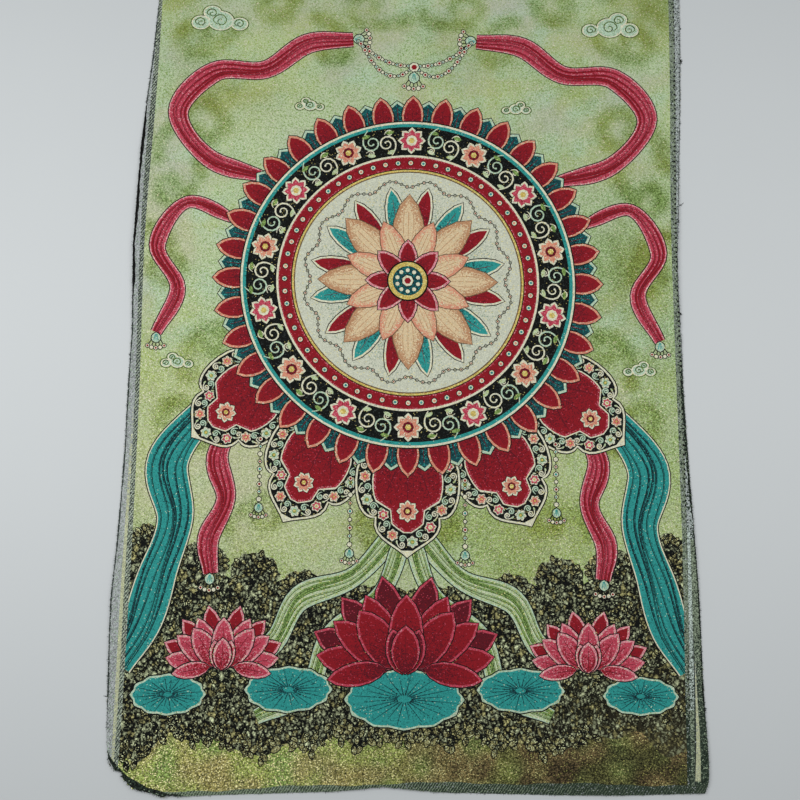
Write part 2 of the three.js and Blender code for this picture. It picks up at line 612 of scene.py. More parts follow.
def scroll(c, at, angle, radius, hand, area, width, turns=1.35, tail=1.6):
    """A tapering stem that winds up into a curl."""
    t = np.linspace(0, 1, 17)
    a = t * turns * TURN
    r = radius * (1 - 0.78 * t)
    curl = np.stack([r * np.cos(a), r * np.sin(a)], axis=1)
    lead = bow_in(radius, radius, ((0.2, -tail), (0.75, -tail * 0.7), (1, -0.6), (1, -0.08)), 6)
    path = np.vstack([lead[:-1], curl]) * [hand, 1]
    widths = np.interp(np.linspace(0, 1, len(path)), [0, 0.25, 0.9, 1], [0.5, 1, 0.7, 0.5]) * width
    c.line(placed(path, at, angle), widths, area)
    c.fill(disc(spot(*path[-1], at, angle), width * 0.62, 7), area)


def scrolled_border(c, path, half, number):
    """Flowers along a dark band, with curls and small leaves between them."""
    flowers = (("salmon", "rose"), ("mint", "leaf"), ("rose", "cream"))
    marks = list(zip(*stations(path, number * 2)))
    for at, angle in marks[::2]:
        for side in (1, -1):
            curl_at = spot(side * half * 0.34, side * half * 0.18, at, angle)
            yarn = "cream" if side > 0 else "mint"
            scroll(c, curl_at, angle + (0 if side > 0 else math.pi), half * 0.42, 1, yarn, 1.4)
            leaf_at = spot(side * half * 0.2, -side * half * 0.7, at, angle)
            c.fill(placed(petal(half * 0.5, half * 0.17, 0.9, 5), leaf_at, angle - side * 1.0), "sash")
    for k, (at, angle) in enumerate(marks[1::2]):
        area, inner = flowers[k % len(flowers)]
        blossom(c, at, half * 0.8, area, inner, angle, 6, 4)


def ring_of_petals(c, at, radius, number, long, wide, areas, rim, veins, half_step=0.0):
    """Petals all round, the odd ones over the even ones."""
    step = TURN / number
    for k in list(range(0, number, 2)) + list(range(1, number, 2)):
        angle = (k + half_step) * step
        one_petal(c, around(at, radius, angle), angle, long, wide, areas[k % len(areas)], rim, veins)


def rings(c, at, radius, rows, n=84):
    """Round areas laid on each other, from the widest. Each has its share of the radius."""
    for part, area in rows:
        c.fill(disc(at, radius * part, n), area)


def scroll_band(c, at, radius, half, number):
    """Blossoms all round a dark band, with scrolls and leaves between them."""
    step = TURN / number
    leaf = petal(half * 0.6, half * 0.2, 0.9, 5)
    for k in range(number):
        gap = (k + 0.5) * step
        for side, area in ((1, "mint"), (-1, "cream")):
            curl_at = around(at, radius + side * half * 0.12, gap + side * 0.05)
            turn = gap + (math.pi if side > 0 else 0)
            scroll(c, curl_at, turn, half * 0.6, 1, area, 1.9)
            small_at = around(at, radius - side * half * 0.62, gap + side * 0.075)
            scroll(c, small_at, turn + side * 1.3, half * 0.22, -1, "cream", 1.2)
        for side in (1, -1):
            angle = k * step + side * 0.118
            for out, lean, area in ((1, 1.6, "leaf"), (-1, 1.9, "sash")):
                where = around(at, radius + out * half * 0.66, angle)
                c.fill(placed(leaf, where, angle + side * lean), area)
    for k in range(number):
        area, inner = (("rose", "cream"), ("salmon", "maroon"))[k % 2]
        blossom(c, around(at, radius, k * step), half * 0.96, area, inner, k * step)


def bead_string(c, path, number, sizes=(2.6, 1.7, 1.7), cores=("crimson", "teal", "cream")):
    """Beads on a thread, whose sizes and middles take turns."""
    c.line(path, 0.9, "jet")
    places, _ = stations(path, number)
    for k, place in enumerate(places):
        bead(c, place, sizes[k % len(sizes)], cores[k % len(cores)])


def swag(start, end, sag):
    """A thread that hangs between two places."""
    t = np.linspace(0, 1, 15)[:, None]
    return np.array(start) + (np.array(end) - np.array(start)) * t - np.array([0, 4 * sag]) * t * (1 - t)


def soft_disc(c, at, radius, area, edge_share, middle_share):
    """A round field whose second yarn grows towards its middle."""
    steps = 6
    for k in range(steps + 1):
        f = k / steps
        mix = edge_share + (middle_share - edge_share) * f
        c.fill(disc(at, radius * (1 - 0.5 * f), 72), area, (at, at, mix, mix))


def petalled_rim(c, at, radius, petals, blossoms):
    """The medallion's outside: two rows of petals round a dark band of blossoms."""
    rim = radius * 0.8
    ring_of_petals(c, at, rim, petals, radius * 0.185, radius * 0.09, ("deep_teal",), "mint", 1, 0.5)
    ring_of_petals(c, at, rim, petals, radius * 0.212, radius * 0.084, ("crimson",), "salmon", 1)
    rings(c, at, radius, ((0.872, "jet"), (0.866, "cream"), (0.855, "teal"), (0.838, "black")))
    scroll_band(c, at, radius * 0.762, radius * 0.077, blossoms)


def jewelled_ring(c, at, radius, beads):
    """A crimson ring set with beads."""
    rings(c, at, radius, ((0.686, "jet"), (0.681, "cream"), (0.670, "crimson_edge"), (0.664, "crimson")))
    rings(c, at, radius, ((0.612, "crimson_edge"), (0.605, "jet"), (0.600, "gold"), (0.590, "brown")))
    for k in range(beads):
        place = around(at, radius * 0.638, k * TURN / beads)
        bead(c, place, radius * 0.0125, ("salmon", "teal")[k % 2])


def petalled_disc(c, at, radius, petals):
    """The pale disc: strings of beads, a ring of petals, and rows of soft and crimson petals."""
    soft_disc(c, at, radius * 0.584, "ivory", 0.04, 0.55)
    for k in range(petals):
        start, end = k * TURN / petals, (k + 1) * TURN / petals
        middle = around(at, radius * 0.56, (start + end) / 2)
        thread = bow(around(at, radius * 0.5, start), middle, middle, around(at, radius * 0.5, end), 9)
        bead_string(c, thread, 7, (1.5, 1.1), ("crimson", "deep_teal"))
    turning = ("teal", "crimson")
    ring_of_petals(c, at, radius * 0.2, petals, radius * 0.31, radius * 0.075, turning, "cream", 1, 0.5)
    half = petals // 2
    for long, wide, turn, area in ((0.465, 0.118, 0.0, "beige"), (0.34, 0.09, 0.5, "blush")):
        for k in range(half):
            soft_petal(c, at, (k + turn) * TURN / half, radius * long, radius * wide, area)
    ring_of_petals(c, at, 0, half, radius * 0.22, radius * 0.075, ("crimson",), "pink", 3)


def medallion(c, at, radius, sizes):
    """The round middle motif: petalled rim, jewelled ring, disc and lotus."""
    petalled_rim(c, at, radius, sizes.rim_petals, sizes.blossoms)
    jewelled_ring(c, at, radius, sizes.beads)
    petalled_disc(c, at, radius, sizes.ring_petals)
    rings(c, at, radius, ((0.108, "jet"), (0.1, "gold"), (0.078, "deep_teal")), 36)
    for k in range(10):
        c.fill(disc(around(at, radius * 0.056, k * math.pi / 5), radius * 0.011, 7), "cream")
    bead(c, at, radius * 0.03)


def cloud_head(long, wide):
    """The outline of a three-lobed flap that grows up from the origin."""
    lobes = (
        # four guiding points of each curve, as shares of the width and the length
        ((0.34, 0), (0.36, 0.08), (0.5, 0.1), (0.5, 0.34), 7),
        ((0.5, 0.34), (0.5, 0.58), (0.4, 0.68), (0.31, 0.66), 8),
        ((0.31, 0.66), (0.35, 0.84), (0.14, 0.88), (0, 1), 8),
    )
    curves = [bow_in(wide, long, guides, n) for *guides, n in lobes]
    right = np.vstack([curves[0]] + [curve[1:] for curve in curves[1:]])
    return np.vstack([right, right[::-1][1:] * [-1, 1]])


def lappet(c, at, angle, long, wide, border):
    """A flap of crimson cloth with a scrolled black border and a cream edge."""
    shape = cloud_head(long, wide)
    c.fill(placed(grown(shape, 1.2), at, angle), "jet")
    c.fill(placed(shape, at, angle), "cream")
    c.fill(placed(drawn_in(shape, 2.0), at, angle), "black")
    middle = drawn_in(shape, border * 0.55)
    middle = middle[middle[:, 1] > long * 0.14]
    scrolled_border(c, placed(middle, at, angle), border * 0.46, 9)
    root, tip = spot(0, long * 0.1, at, angle), spot(0, long * 0.8, at, angle)
    c.fill(placed(drawn_in(shape, border), at, angle), "cream")
    c.fill(placed(drawn_in(shape, border + 1.3), at, angle), "crimson_edge")
    c.fill(placed(drawn_in(shape, border + 3.6), at, angle), "crimson", (root, tip, 0.55, 0.05))
    for f in (-1, 0, 1):
        fold = bow_in(f * wide, long, ((0.1, 0.2), (0.14, 0.35), (0.2, 0.4), (0.22, 0.5)), 8)
        c.line(placed(fold, at, angle), np.linspace(2.2, 0.6, 8), "maroon")
    blossom(c, spot(0, long * 0.6, at, angle), wide * 0.105, "salmon", "maroon", angle)


# The yarns of each ribbon: its cloth, the shade beside its folds, their line and the piping.
Ribbon = namedtuple("Ribbon", "cloth shade line piping")
RIBBONS = {
    "teal": Ribbon("teal", "deep_teal", "jet", "cream"),
    "rose": Ribbon("rose", "crimson", "maroon", "pink"),
    "green": Ribbon("sash", "leaf", "fern", "mint"),
}


def ribbon(c, kind, width, folds, route):
    """A floating piped ribbon, with a shaded band and a fine line at each of its folds."""
    yarns = RIBBONS[kind]
    path = through(route, 6.4)
    t = np.linspace(0, 1, len(path))
    wide = width * np.interp(t, [0, 0.1, 0.5, 0.9, 1], [0.5, 0.9, 1.1, 1.0, 0.85])
    wide = wide * (1 + 0.1 * np.sin(t * 17))
    side = sideways(path)
    c.fill(strip(path, wide + 2.2), "jet")
    c.fill(strip(path, wide), yarns.piping)
    wide = wide - 2.4
    c.fill(strip(path, wide), yarns.cloth)
    for k in range(folds):
        across = (k + 1) / (folds + 1) - 0.5 + 0.05 * np.sin(t * 9 + k * 1.7)
        fold = path + side * (wide * across)[:, None]
        c.line(fold + side * 1.2, 2.2 * (0.6 + 0.4 * np.sin(t * 11 + k)), yarns.shade)
        c.line(fold, 0.85, yarns.line)


def tassel(c, at, angle, size):
    """Five threads that end in beads, under a woven cap."""
    for k in range(5):
        end = spot(0, size, at, angle + (k - 2) * 0.28)
        c.line(np.array([at, end]), 1.1, "jet")
        bead(c, end, size * 0.12, ("crimson", "cream")[k % 2])
    c.outlined(placed(petal(size * 0.66, size * 0.36, 1.2, 6), at, angle), "mint", OUTLINE, "black")
    for f in (-1, 0, 1):
        c.line(placed([(f * size * 0.04, size * 0.1), (f * size * 0.13, size * 0.5)], at, angle), 0.8, "teal")


def cloud(c, at, size):
    """A scrolled cloud of four lobes, with a paler and a darker rim."""
    lobes = ((0, 0, 1.0), (0.95, -0.1, 0.72), (-0.9, -0.15, 0.66), (0.42, 0.42, 0.7))
    for grow, area in ((1.3, "fern"), (0, "cream"), (-1.5, "mint")):
        for u, v, r in lobes:
            c.fill(disc((at[0] + u * size, at[1] + v * size), r * size * 0.62 + grow, 20, 0.8), area)
    for u, v, r in lobes:
        middle = (at[0] + u * size, at[1] + v * size * 0.9)
        scroll(c, middle, 0.4, r * size * 0.36, 1, "fern", 1.4, 1.2, 0.6)


def bank_leaf(c, at, angle, size, rng, dark=0.0):
    """One large leaf with a black outline. It holds more of its dark yarn where it is dark."""
    shape = placed(petal(size, size * 0.38, 0.95, 5), at, angle)
    tip_mix = rng.uniform(0.05, 0.4) + dark
    shading = (at, around(at, size, angle), 0.72 + dark, tip_mix)
    c.outlined(shape, "bank_leaf", 1.0, "jet", shading)


Bush = namedtuple("Bush", "across up radius")
BUSHES = (
    Bush(270, 226, 34), Bush(216, 214, 28), Bush(160, 206, 26), Bush(282, 176, 26),
    Bush(110, 190, 24), Bush(56, 178, 24), Bush(12, 170, 22), Bush(236, 164, 22),
    Bush(186, 158, 20), Bush(262, 116, 22), Bush(132, 144, 20), Bush(84, 132, 18),
    Bush(214, 104, 20), Bush(30, 112, 18), Bush(158, 92, 18), Bush(280, 66, 16),
)
BUSH_SQUASH = 0.86
# A bush's steps of shading from its rim inwards: the share of its radius and of the pale yarn.
BUSH_SHADING = ((1.0, 0.66), (0.84, 0.54), (0.62, 0.42), (0.4, 0.3))
# Beyond this the bank fades into the meadow at the right, with no single leaves at its foot.
FADING_FOOT = 196.0
# From where, and over what distance, the leaves at the foot grow darker towards both sides.
LEAVES_DARKEN_FROM = 150.0
LEAVES_DARKEN_OVER = 70.0


def bank_foot(c, leaf, rng, across_bank, foot):
    """The single leaves along the foot of the bank."""
    for across, up in zip(across_bank[::2], foot[::2]):
        c.paired = across < FADING_FOOT
        side = 1 if c.paired else -1
        dark = 0.26 * min(1.0, max(0.0, (across - LEAVES_DARKEN_FROM) / LEAVES_DARKEN_OVER))
        for rise in (15, 8, 1):
            at = (side * (across + rng.uniform(-5, 5)), up + rise + rng.uniform(-2, 3))
            bank_leaf(c, at, math.pi + rng.uniform(-1.2, 1.2), leaf * rng.uniform(0.9, 1.5), rng, dark)
    c.paired = True


def leaf_bush(c, bush, leaf, rng):
    """One tuft of the bank, whose pale yarn shows most along its rim."""
    p, q, radius = bush
    a = full_turn(30)
    for shrink, mix in BUSH_SHADING:
        r = radius * shrink * (1 + 0.06 * np.cos(a * 9 + p) + 0.04 * np.cos(a * 14 + q))
        c.fill(disc((p, q), r, 30, BUSH_SQUASH), "bank", ((p, q), (p, q), mix, mix))
    for _ in range(int(radius * 0.55)):
        angle = rng.uniform(-1.9, 1.9)
        reach = radius * rng.uniform(0.72, 1.0) - leaf * 0.5
        across, up = around((p, q), reach, angle)
        turn = angle + rng.uniform(-0.5, 0.5)
        bank_leaf(c, (across, q + (up - q) * BUSH_SQUASH), turn, leaf * rng.uniform(0.7, 1), rng)


def leaf_bank(c, leaf, rng):
    """The dark bank of leaves along the foot of the picture, in tufts with paler rims."""
    edge = np.linspace(0, PICTURE_HALF + 25, 64)
    top = 190 + 30 * (edge / PICTURE_HALF) ** 2 + 8 * np.sin(edge / 15)
    low = 52 + 7 * np.sin(edge / 29 + 0.6) + 4 * np.sin(edge / 9)
    foot = low - 13 - 5 * np.sin(edge / 21) - 3 * np.sin(edge / 7 + 1)
    c.paired = True
    c.fill(between(edge - 1, top, foot), "bank_foot", ((0, 70), (0, 30), 0.4, 0.62))
    c.fill(between(edge - 1, top, low), "bank", ((0, 190), (0, 60), 0.36, 0.5))
    bank_foot(c, leaf, rng, edge, foot)
    for bush in BUSHES:
        leaf_bush(c, bush, leaf, rng)
    c.paired = False


LOTUS_LEAF_SQUASH = 0.5


def lotus_leaf(c, at, radius):
    """A round floating leaf with a scalloped rim and fine ribs."""
    rim = disc(at, radius * (1 + 0.035 * np.cos(full_turn(48) * 12)), 48, LOTUS_LEAF_SQUASH)
    c.outlined(rim, "mint", 1.2, "black")
    c.fill(drawn_in(rim, 1.8), "teal")
    for k in range(24):
        turn = (k + 0.5) * math.pi / 12
        way = np.array([math.cos(turn), LOTUS_LEAF_SQUASH * math.sin(turn)]) * radius
        tip = at + way * (0.9 if k % 2 else 0.7)
        c.line(np.array([at + way * 0.12, tip]), np.array([1.3, 0.5]), "deep_teal")


def floating_ribbons(c):
    """Ribbons at both sides of the medallion, and the tassels at their ends."""
    foot = ((140, 440), (210, 384), (256, 324), (246, 262), (262, 204), (276, 154), (297, 116))
    head = ((160, 640), (226, 662), (264, 716), (226, 764), (168, 768), (122, 800), (70, 806))
    ribbon(c, "teal", 38, 6, foot)
    ribbon(c, "rose", 20, 4, ((150, 400), (202, 336), (193, 284), (210, 242), (206, 206)))
    ribbon(c, "rose", 21, 4, head)
    ribbon(c, "rose", 15, 3, ((190, 590), (246, 610), (276, 560), (252, 512), (274, 462)))
    for place, way, size in (((70, 806), 1.45, 19), ((274, 462), math.pi, 17), ((207, 206), math.pi, 17)):
        tassel(c, place, way, size)
    ribbon(c, "green", 22, 6, ((4, 262), (54, 206), (112, 182), (142, 134), (206, 122)))
    ribbon(c, "green", 19, 5, ((2, 256), (26, 190), (80, 142), (100, 92), (152, 66)))


def flaps(c, middle, radius):
    """The crimson flaps that hang from the medallion's lower rim."""
    for angle, long, wide, border in ((2.22, 88, 108, 17), (2.68, 92, 108, 17), (math.pi, 96, 112, 18)):
        c.paired = angle < math.pi
        lappet(c, around(middle, radius * 0.84, angle), angle, long + radius * 0.12, wide, border)


def hangings(c):
    """Strings of beads with their tassels, under the flaps and over the medallion."""
    c.paired = True
    for across, up, drop in ((61, 312, 78), (158, 352, 72)):
        bead_string(c, np.array([(across, up), (across, up - drop)]), 9, (2.4, 1.8))
        tassel(c, (across, up - drop), math.pi, 15)
    for start, end, sag in (((0, 776), (66, 806), 10), ((0, 776), (60, 800), 24)):
        bead_string(c, swag(start, end, sag), 17)
    c.paired = False
    bead(c, (0, 774), 5.5)
    tassel(c, (0, 768), math.pi, 20)


def lotus_pond(c):
    """Three lotus flowers on their floating leaves, at the foot of the picture."""
    c.paired = True
    lotus_leaf(c, (120, 92), 44)
    lotus_leaf(c, (244, 88), 38)
    lotus(c, (190, 114), 56, "rose", "pink", "crimson")
    c.paired = False
    lotus_leaf(c, (0, 82), 60)
    lotus(c, (0, 112), 88, "crimson", "rose", "maroon")


def woven_picture(sizes, seed):
    """A generic picture: a round lotus medallion with ribbons over a bank of leaves."""
    c = Cartoon()
    middle = (0.0, sizes.medallion_height / MM)
    radius = sizes.medallion_radius / MM
    leaf_bank(c, sizes.leaf_length / MM, np.random.default_rng(seed))
    c.paired = True
    floating_ribbons(c)
    flaps(c, middle, radius)
    hangings(c)
    medallion(c, middle, radius, sizes)
    lotus_pond(c)
    c.paired = True
    for place, size in (((222, 826), 24), ((250, 430), 13), ((116, 726), 12)):
        cloud(c, place, size)
    c.paired = False
    return c


# ---------------- margins
# Bands woven beside the picture, later ones over earlier ones. Each row gives, at a height,
# where the band starts and ends beside the picture's edge and the share of its second yarn.
Row = namedtuple("Row", "up start end mix")
# Heights below and above the cloth, and a distance that lies beyond its cut edge.
LOW, HIGH, OFF = -20, 900, 40
LEFT_BANDS = (
    ("edge_pale", (
        Row(LOW, 0, OFF, 0.1), Row(94, 0, OFF, 0.12), Row(202, 0, OFF, 0.03), Row(310, 0, OFF, 0.03),
        Row(418, 0, OFF, 0.14), Row(567, 0, OFF, 0.08), Row(686, 0, OFF, 0.12), Row(HIGH, 0, OFF, 0.1),
    )),
    ("edge_twill", (
        Row(LOW, 0, 4.6, 0.52), Row(94, 0, 4.8, 0.42), Row(202, 0, 5.6, 0.44), Row(310, 0, 5.0, 0.5),
        Row(418, 0, 4.6, 0.58), Row(567, 0, 4.6, 0.66), Row(686, 0, 6.4, 0.68), Row(783, 0, 5.0, 0.53),
        Row(HIGH, 0, 5.0, 0.5),
    )),
    ("edge_stripe", (
        Row(26, 4.6, 7.6, 0.4), Row(94, 4.8, 8.6, 0.2), Row(202, 5.6, 9.0, 0.0), Row(310, 5.0, 8.0, 0.4),
        Row(400, 4.8, 5.6, 0.9),
    )),
)
# At the right the bands hold more of their dark second yarn towards the foot: partly their own colour, partly
# painted shade over the lower right.
RIGHT_BANDS = (
    ("edge_green", (
        Row(LOW, 0, OFF, 0.9), Row(43, 0, OFF, 0.85), Row(100, 0, OFF, 0.62), Row(170, 0, OFF, 0.3),
        Row(250, 0, OFF, 0.3),
    )),
    ("edge_grain", (Row(250, 0, OFF, 0.32), Row(HIGH, 0, OFF, 0.26))),
    ("edge_green", (Row(LOW, 4.2, 8.0, 0.6), Row(43, 4.2, 8.0, 0.5), Row(80, 4.4, 9.2, 0.4))),
    ("edge_speckle", (
        Row(LOW, 0, 4.2, 0.96), Row(43, 0, 4.2, 0.93), Row(97, 0, 4.2, 0.45), Row(170, 0, 4.8, 0.13),
        Row(342, 0, 4.3, 0.15), Row(640, 0, 4.3, 0.2), Row(820, 0, 5.0, 0.17), Row(HIGH, 0, 5.0, 0.17),
    )),
    ("edge_dots", (
        Row(70, 3.0, 4.2, 0.5), Row(170, 4.4, 5.0, 0.4), Row(342, 4.2, 6.3, 0.42), Row(640, 4.2, 6.3, 0.42),
        Row(820, 5.0, 6.3, 0.45), Row(HIGH, 5.0, 6.3, 0.45),
    )),
    ("edge_dashes", (
        Row(75, 4.4, 9.2, 0.5), Row(97, 4.4, 9.2, 0.42), Row(170, 4.8, 8.8, 0.16), Row(240, 5.2, 8.4, 0.2),
        Row(270, 5.5, 8.4, 0.24),
    )),
    ("edge_grain", (Row(262, 5.4, 8.4, 0.24), Row(342, 6.2, 8.4, 0.32), Row(430, 6.4, 7.4, 0.36))),
    ("edge_dark", (
        Row(LOW, 7.0, 8.4, 0.4), Row(43, 8.0, 9.8, 0.4), Row(97, 9.2, 10.4, 0.3), Row(150, 9.0, 9.4, 0.2),
    )),
    ("edge_grain", (
        Row(420, 6.4, OFF, 0.26), Row(560, 6.3, OFF, 0.24), Row(700, 6.3, OFF, 0.16),
        Row(820, 6.3, OFF, 0.1), Row(HIGH, 6.3, OFF, 0.1),
    )),
    ("edge_spots", (Row(640, 9.0, 10.2, 0.2), Row(820, 10.6, 12.0, 0.2), Row(HIGH, 10.6, 12.0, 0.2))),
    ("edge_stripe", (
        Row(4, 8.0, 13.6, 0.2), Row(43, 10.1, 13.9, 0.2), Row(97, 10.4, 12.0, 0.35),
        Row(124, 10.3, 10.9, 0.4),
    )),
)
# Dark lines along the cut edges: partly the yarns' ends that show there, partly painted shadow along the
# edge.
EdgeLine = namedtuple("EdgeLine", "side low high width area")
EDGE_LINES = (
    EdgeLine(-1, 60, 880, 1.5, "edge_dark"),
    EdgeLine(-1, 500, 760, 2.9, "jet"),
    EdgeLine(1, 60, 300, 1.5, "edge_frayed"),
    EdgeLine(1, 280, 470, 2.9, "edge_frayed"),
    EdgeLine(1, 440, 860, 0.7, "edge_dark"),
)
# The torn corner at the lower left: its line, and how wide the dark frayed strip is.
TORN_LINE = ((-305, 52), (-300, 38), (-286, 22), (-266, 9), (-240, 1), (-204, -2))
TORN_WIDTHS = (1, 4, 7, 8, 6, 2)
# How far the twill goes on below the picture, past the cut edge.
FOOT_BAND = 42.0
BAND_STEP = 24.0


def side_band(c, side, area, rows):
    """One woven band beside the picture, in lengths along which its shading changes."""
    ups, *columns = np.array(rows, float).T
    heights = np.arange(ups[0], ups[-1] + BAND_STEP, BAND_STEP)
    heights[-1] = ups[-1]
    start, end, mix = (np.interp(heights, ups, column) for column in columns)
    for k in range(len(heights) - 1):
        low, high = heights[k], heights[k + 1]
        corners = ((start[k], low), (end[k], low), (end[k + 1], high), (start[k + 1], high))
        outline = [(side * (PICTURE_HALF + across), up) for across, up in corners]
        shading = ((side * PICTURE_HALF, low), (side * PICTURE_HALF, high), mix[k], mix[k + 1])
        c.fill(outline, area, shading)


def side_at(outline, side, ups):
    """How far across the cut edge stands on one side at each height."""
    far = np.full(len(ups), -np.inf)
    for (x0, v0), (x1, v1) in zip(outline, np.roll(outline, -1, axis=0)):
        if v0 == v1:
            continue
        t = (ups - v0) / (v1 - v0)
        far = np.where((t >= 0) & (t <= 1), np.maximum(far, side * (x0 + (x1 - x0) * t)), far)
    return side * far


def edge_line(c, outline, line):
    """A dark line along the cut edge, partly painted shadow, which tapers towards its ends."""
    ups = np.arange(line.low, line.high, 6.0)
    across = side_at(outline, line.side, ups)
    wide = line.width * np.clip(np.minimum(ups - line.low, line.high - ups) / 40, 0.15, 1)
    wide = wide * (1 + 0.35 * np.sin(ups * 0.9) * np.sin(ups * 0.23))
    inner = np.stack([across - line.side * wide, ups], 1)
    outer = np.stack([across + line.side * 3, ups], 1)
    c.fill_lying(np.vstack([inner, outer[::-1]]), line.area)


def margins(c, outline):
    """The bands at both sides, the twill under the picture, the torn corner and the edges."""
    for side, bands in ((-1, LEFT_BANDS), (1, RIGHT_BANDS)):
        for area, rows in bands:
            side_band(c, side, area, rows)
    across = np.linspace(-PICTURE_HALF - 30, PICTURE_HALF + 30, 60)
    top = 1.1 * np.sin(across / 23) + 0.6 * np.sin(across / 7)
    c.fill(between(across, top, top - FOOT_BAND), "foot_twill", ((-200, 0), (200, 0), 0.4, 0.9))
    torn = through(TORN_LINE, 6.0)
    widths = np.interp(np.linspace(0, 1, len(torn)), np.linspace(0, 1, len(TORN_WIDTHS)), TORN_WIDTHS)
    widths = widths * (1 + 0.16 * np.sin(np.arange(len(torn)) * 1.9))
    c.fill_lying(strip(torn, widths), "edge_frayed")
    for line in EDGE_LINES:
        edge_line(c, outline, line)


# ---------------- the ground
# Cloud lines of the ground, alike on both sides: the curl's middle, the way of its lead, its
# radius and the line's width.
Curl = namedtuple("Curl", "across up lead radius width")
CURL_TURNS = 0.85
GROUND_CURLS = (
    Curl(232, 700, 0.9, 25, 10),
    Curl(250, 806, -2.0, 20, 10),
    Curl(160, 850, 1.7, 24, 11),
    Curl(56, 846, -1.4, 19, 9),
    Curl(268, 536, 2.7, 19, 9),
    Curl(246, 372, -1.1, 20, 10),
    Curl(150, 268, 1.2, 17, 9),
    Curl(36, 262, -0.5, 15, 8),
    Curl(266, 626, -2.4, 17, 9),
    Curl(92, 794, 2.6, 17, 9),
    Curl(214, 452, 0.6, 17, 9),
)


def curl_path(curl):
    """A hooked cloud line: a long lead that winds into a curl."""
    radius = curl.radius
    t = np.linspace(0, 1, 40)
    a = t * CURL_TURNS * TURN
    r = radius * (1 - 0.5 * t)
    hook = np.stack([r * np.cos(a), r * np.sin(a)], 1)
    lead = bow_in(radius, radius, ((0.1, -2.6), (0.9, -2.0), (1, -1), (1, 0)), 24)
    return placed(np.vstack([lead, hook]), (curl.across, curl.up), curl.lead)


def smooth_noise(points, size, seed):
    """Soft random numbers between -1 and 1 over the cloth."""
    rng = np.random.default_rng(seed)
    total = np.zeros(len(points))
    for _ in range(10):
        way = rng.normal(size=2) / size
        total += np.sin(points @ way * 2.2 + rng.uniform(0, 6.3)) * rng.uniform(0.5, 1)
    return np.clip(total / 3.2, -1, 1)


# How far each tone draws the ground's main yarn, its second yarn and its glints towards a yarn.
Tone = namedtuple("Tone", "name yarn main second glint", defaults=[0.0])
GROUND_TONES = (
    Tone("mint", "mint", 0.8, 0.15),
    Tone("grey", "dove", 0.85, 0.55),
    Tone("green", "green", 0.8, 0.0),
    Tone("green", "deep_green", 0.08, 0.8),
    Tone("olive", "olive", 0.42, 0.6),
    Tone("lime", "lime", 0.35, 0.6),
    Tone("sunny", "straw", 0.4, 0.1),
    Tone("sunny", "tan", 0.12, 0.12),
    Tone("meadow", "lime", 0.75, 0.2),
    Tone("meadow", "olive", 0.1, 0.75),
    Tone("meadow_green", "green", 0.7, 0.2),
    Tone("meadow_green", "deep_green", 0.0, 0.4),
    Tone("meadow_tan", "tan", 0.6, 0.1),
    Tone("meadow_tan", "brown", 0.12, 0.65),
    # The meadow's dark tone: partly its own colour, partly painted shade over the lower right.
    Tone("meadow_dark", "brown", 0.6, 0.5),
    Tone("meadow_dark", "black", 0.55, 0.85),
    Tone("meadow", "glitter", 0.0, 0.0, 0.7),
    Tone("green", "khaki", 0.0, 0.0, 0.5),
    Tone("meadow_dark", "olive", 0.0, 0.0, 0.9),
)
MEADOW_TOP = 70.0

# Broad greener patches of the ground.
Patch = namedtuple("Patch", "across up wide tall amount")
GROUND_PATCHES = (
    Patch(270, 852, 34, 34, 0.75),
    Patch(240, 545, 46, 44, 0.7),
    Patch(186, 756, 32, 28, 0.4),
    Patch(-272, 856, 26, 26, 0.55),
    Patch(-222, 738, 46, 20, 0.45),
)

# The sizes of the ground's soft random fields. Each has the next seed.
FIELD_SIZES = {
    "broad": 60,
    "fine": 20,
    "warm": 70,
    "mint": 46,
    "grey": 52,
    "wet": 26,
    "grassy": 24,
    "cool": 15,
    "dark": 20,
}


def unit(value):
    """Values held between 0 and 1."""
    return np.clip(value, 0, 1)


def curl_marks(places):
    """How much places belong to the ground's cloud lines, and to the paler rims beside them."""
    curls = np.zeros(len(places))
    halo = np.zeros(len(places))
    for curl in GROUND_CURLS:
        gap = np.full(len(places), np.inf)
        for place in curl_path(curl):
            gap = np.minimum(gap, ((places - place) ** 2).sum(1))
        curls = np.maximum(curls, np.exp(-((gap / curl.width**2) ** 1.5)))
        halo = np.maximum(halo, np.exp(-gap / (curl.width * 2.3) ** 2))
    return curls, halo * (1 - curls)


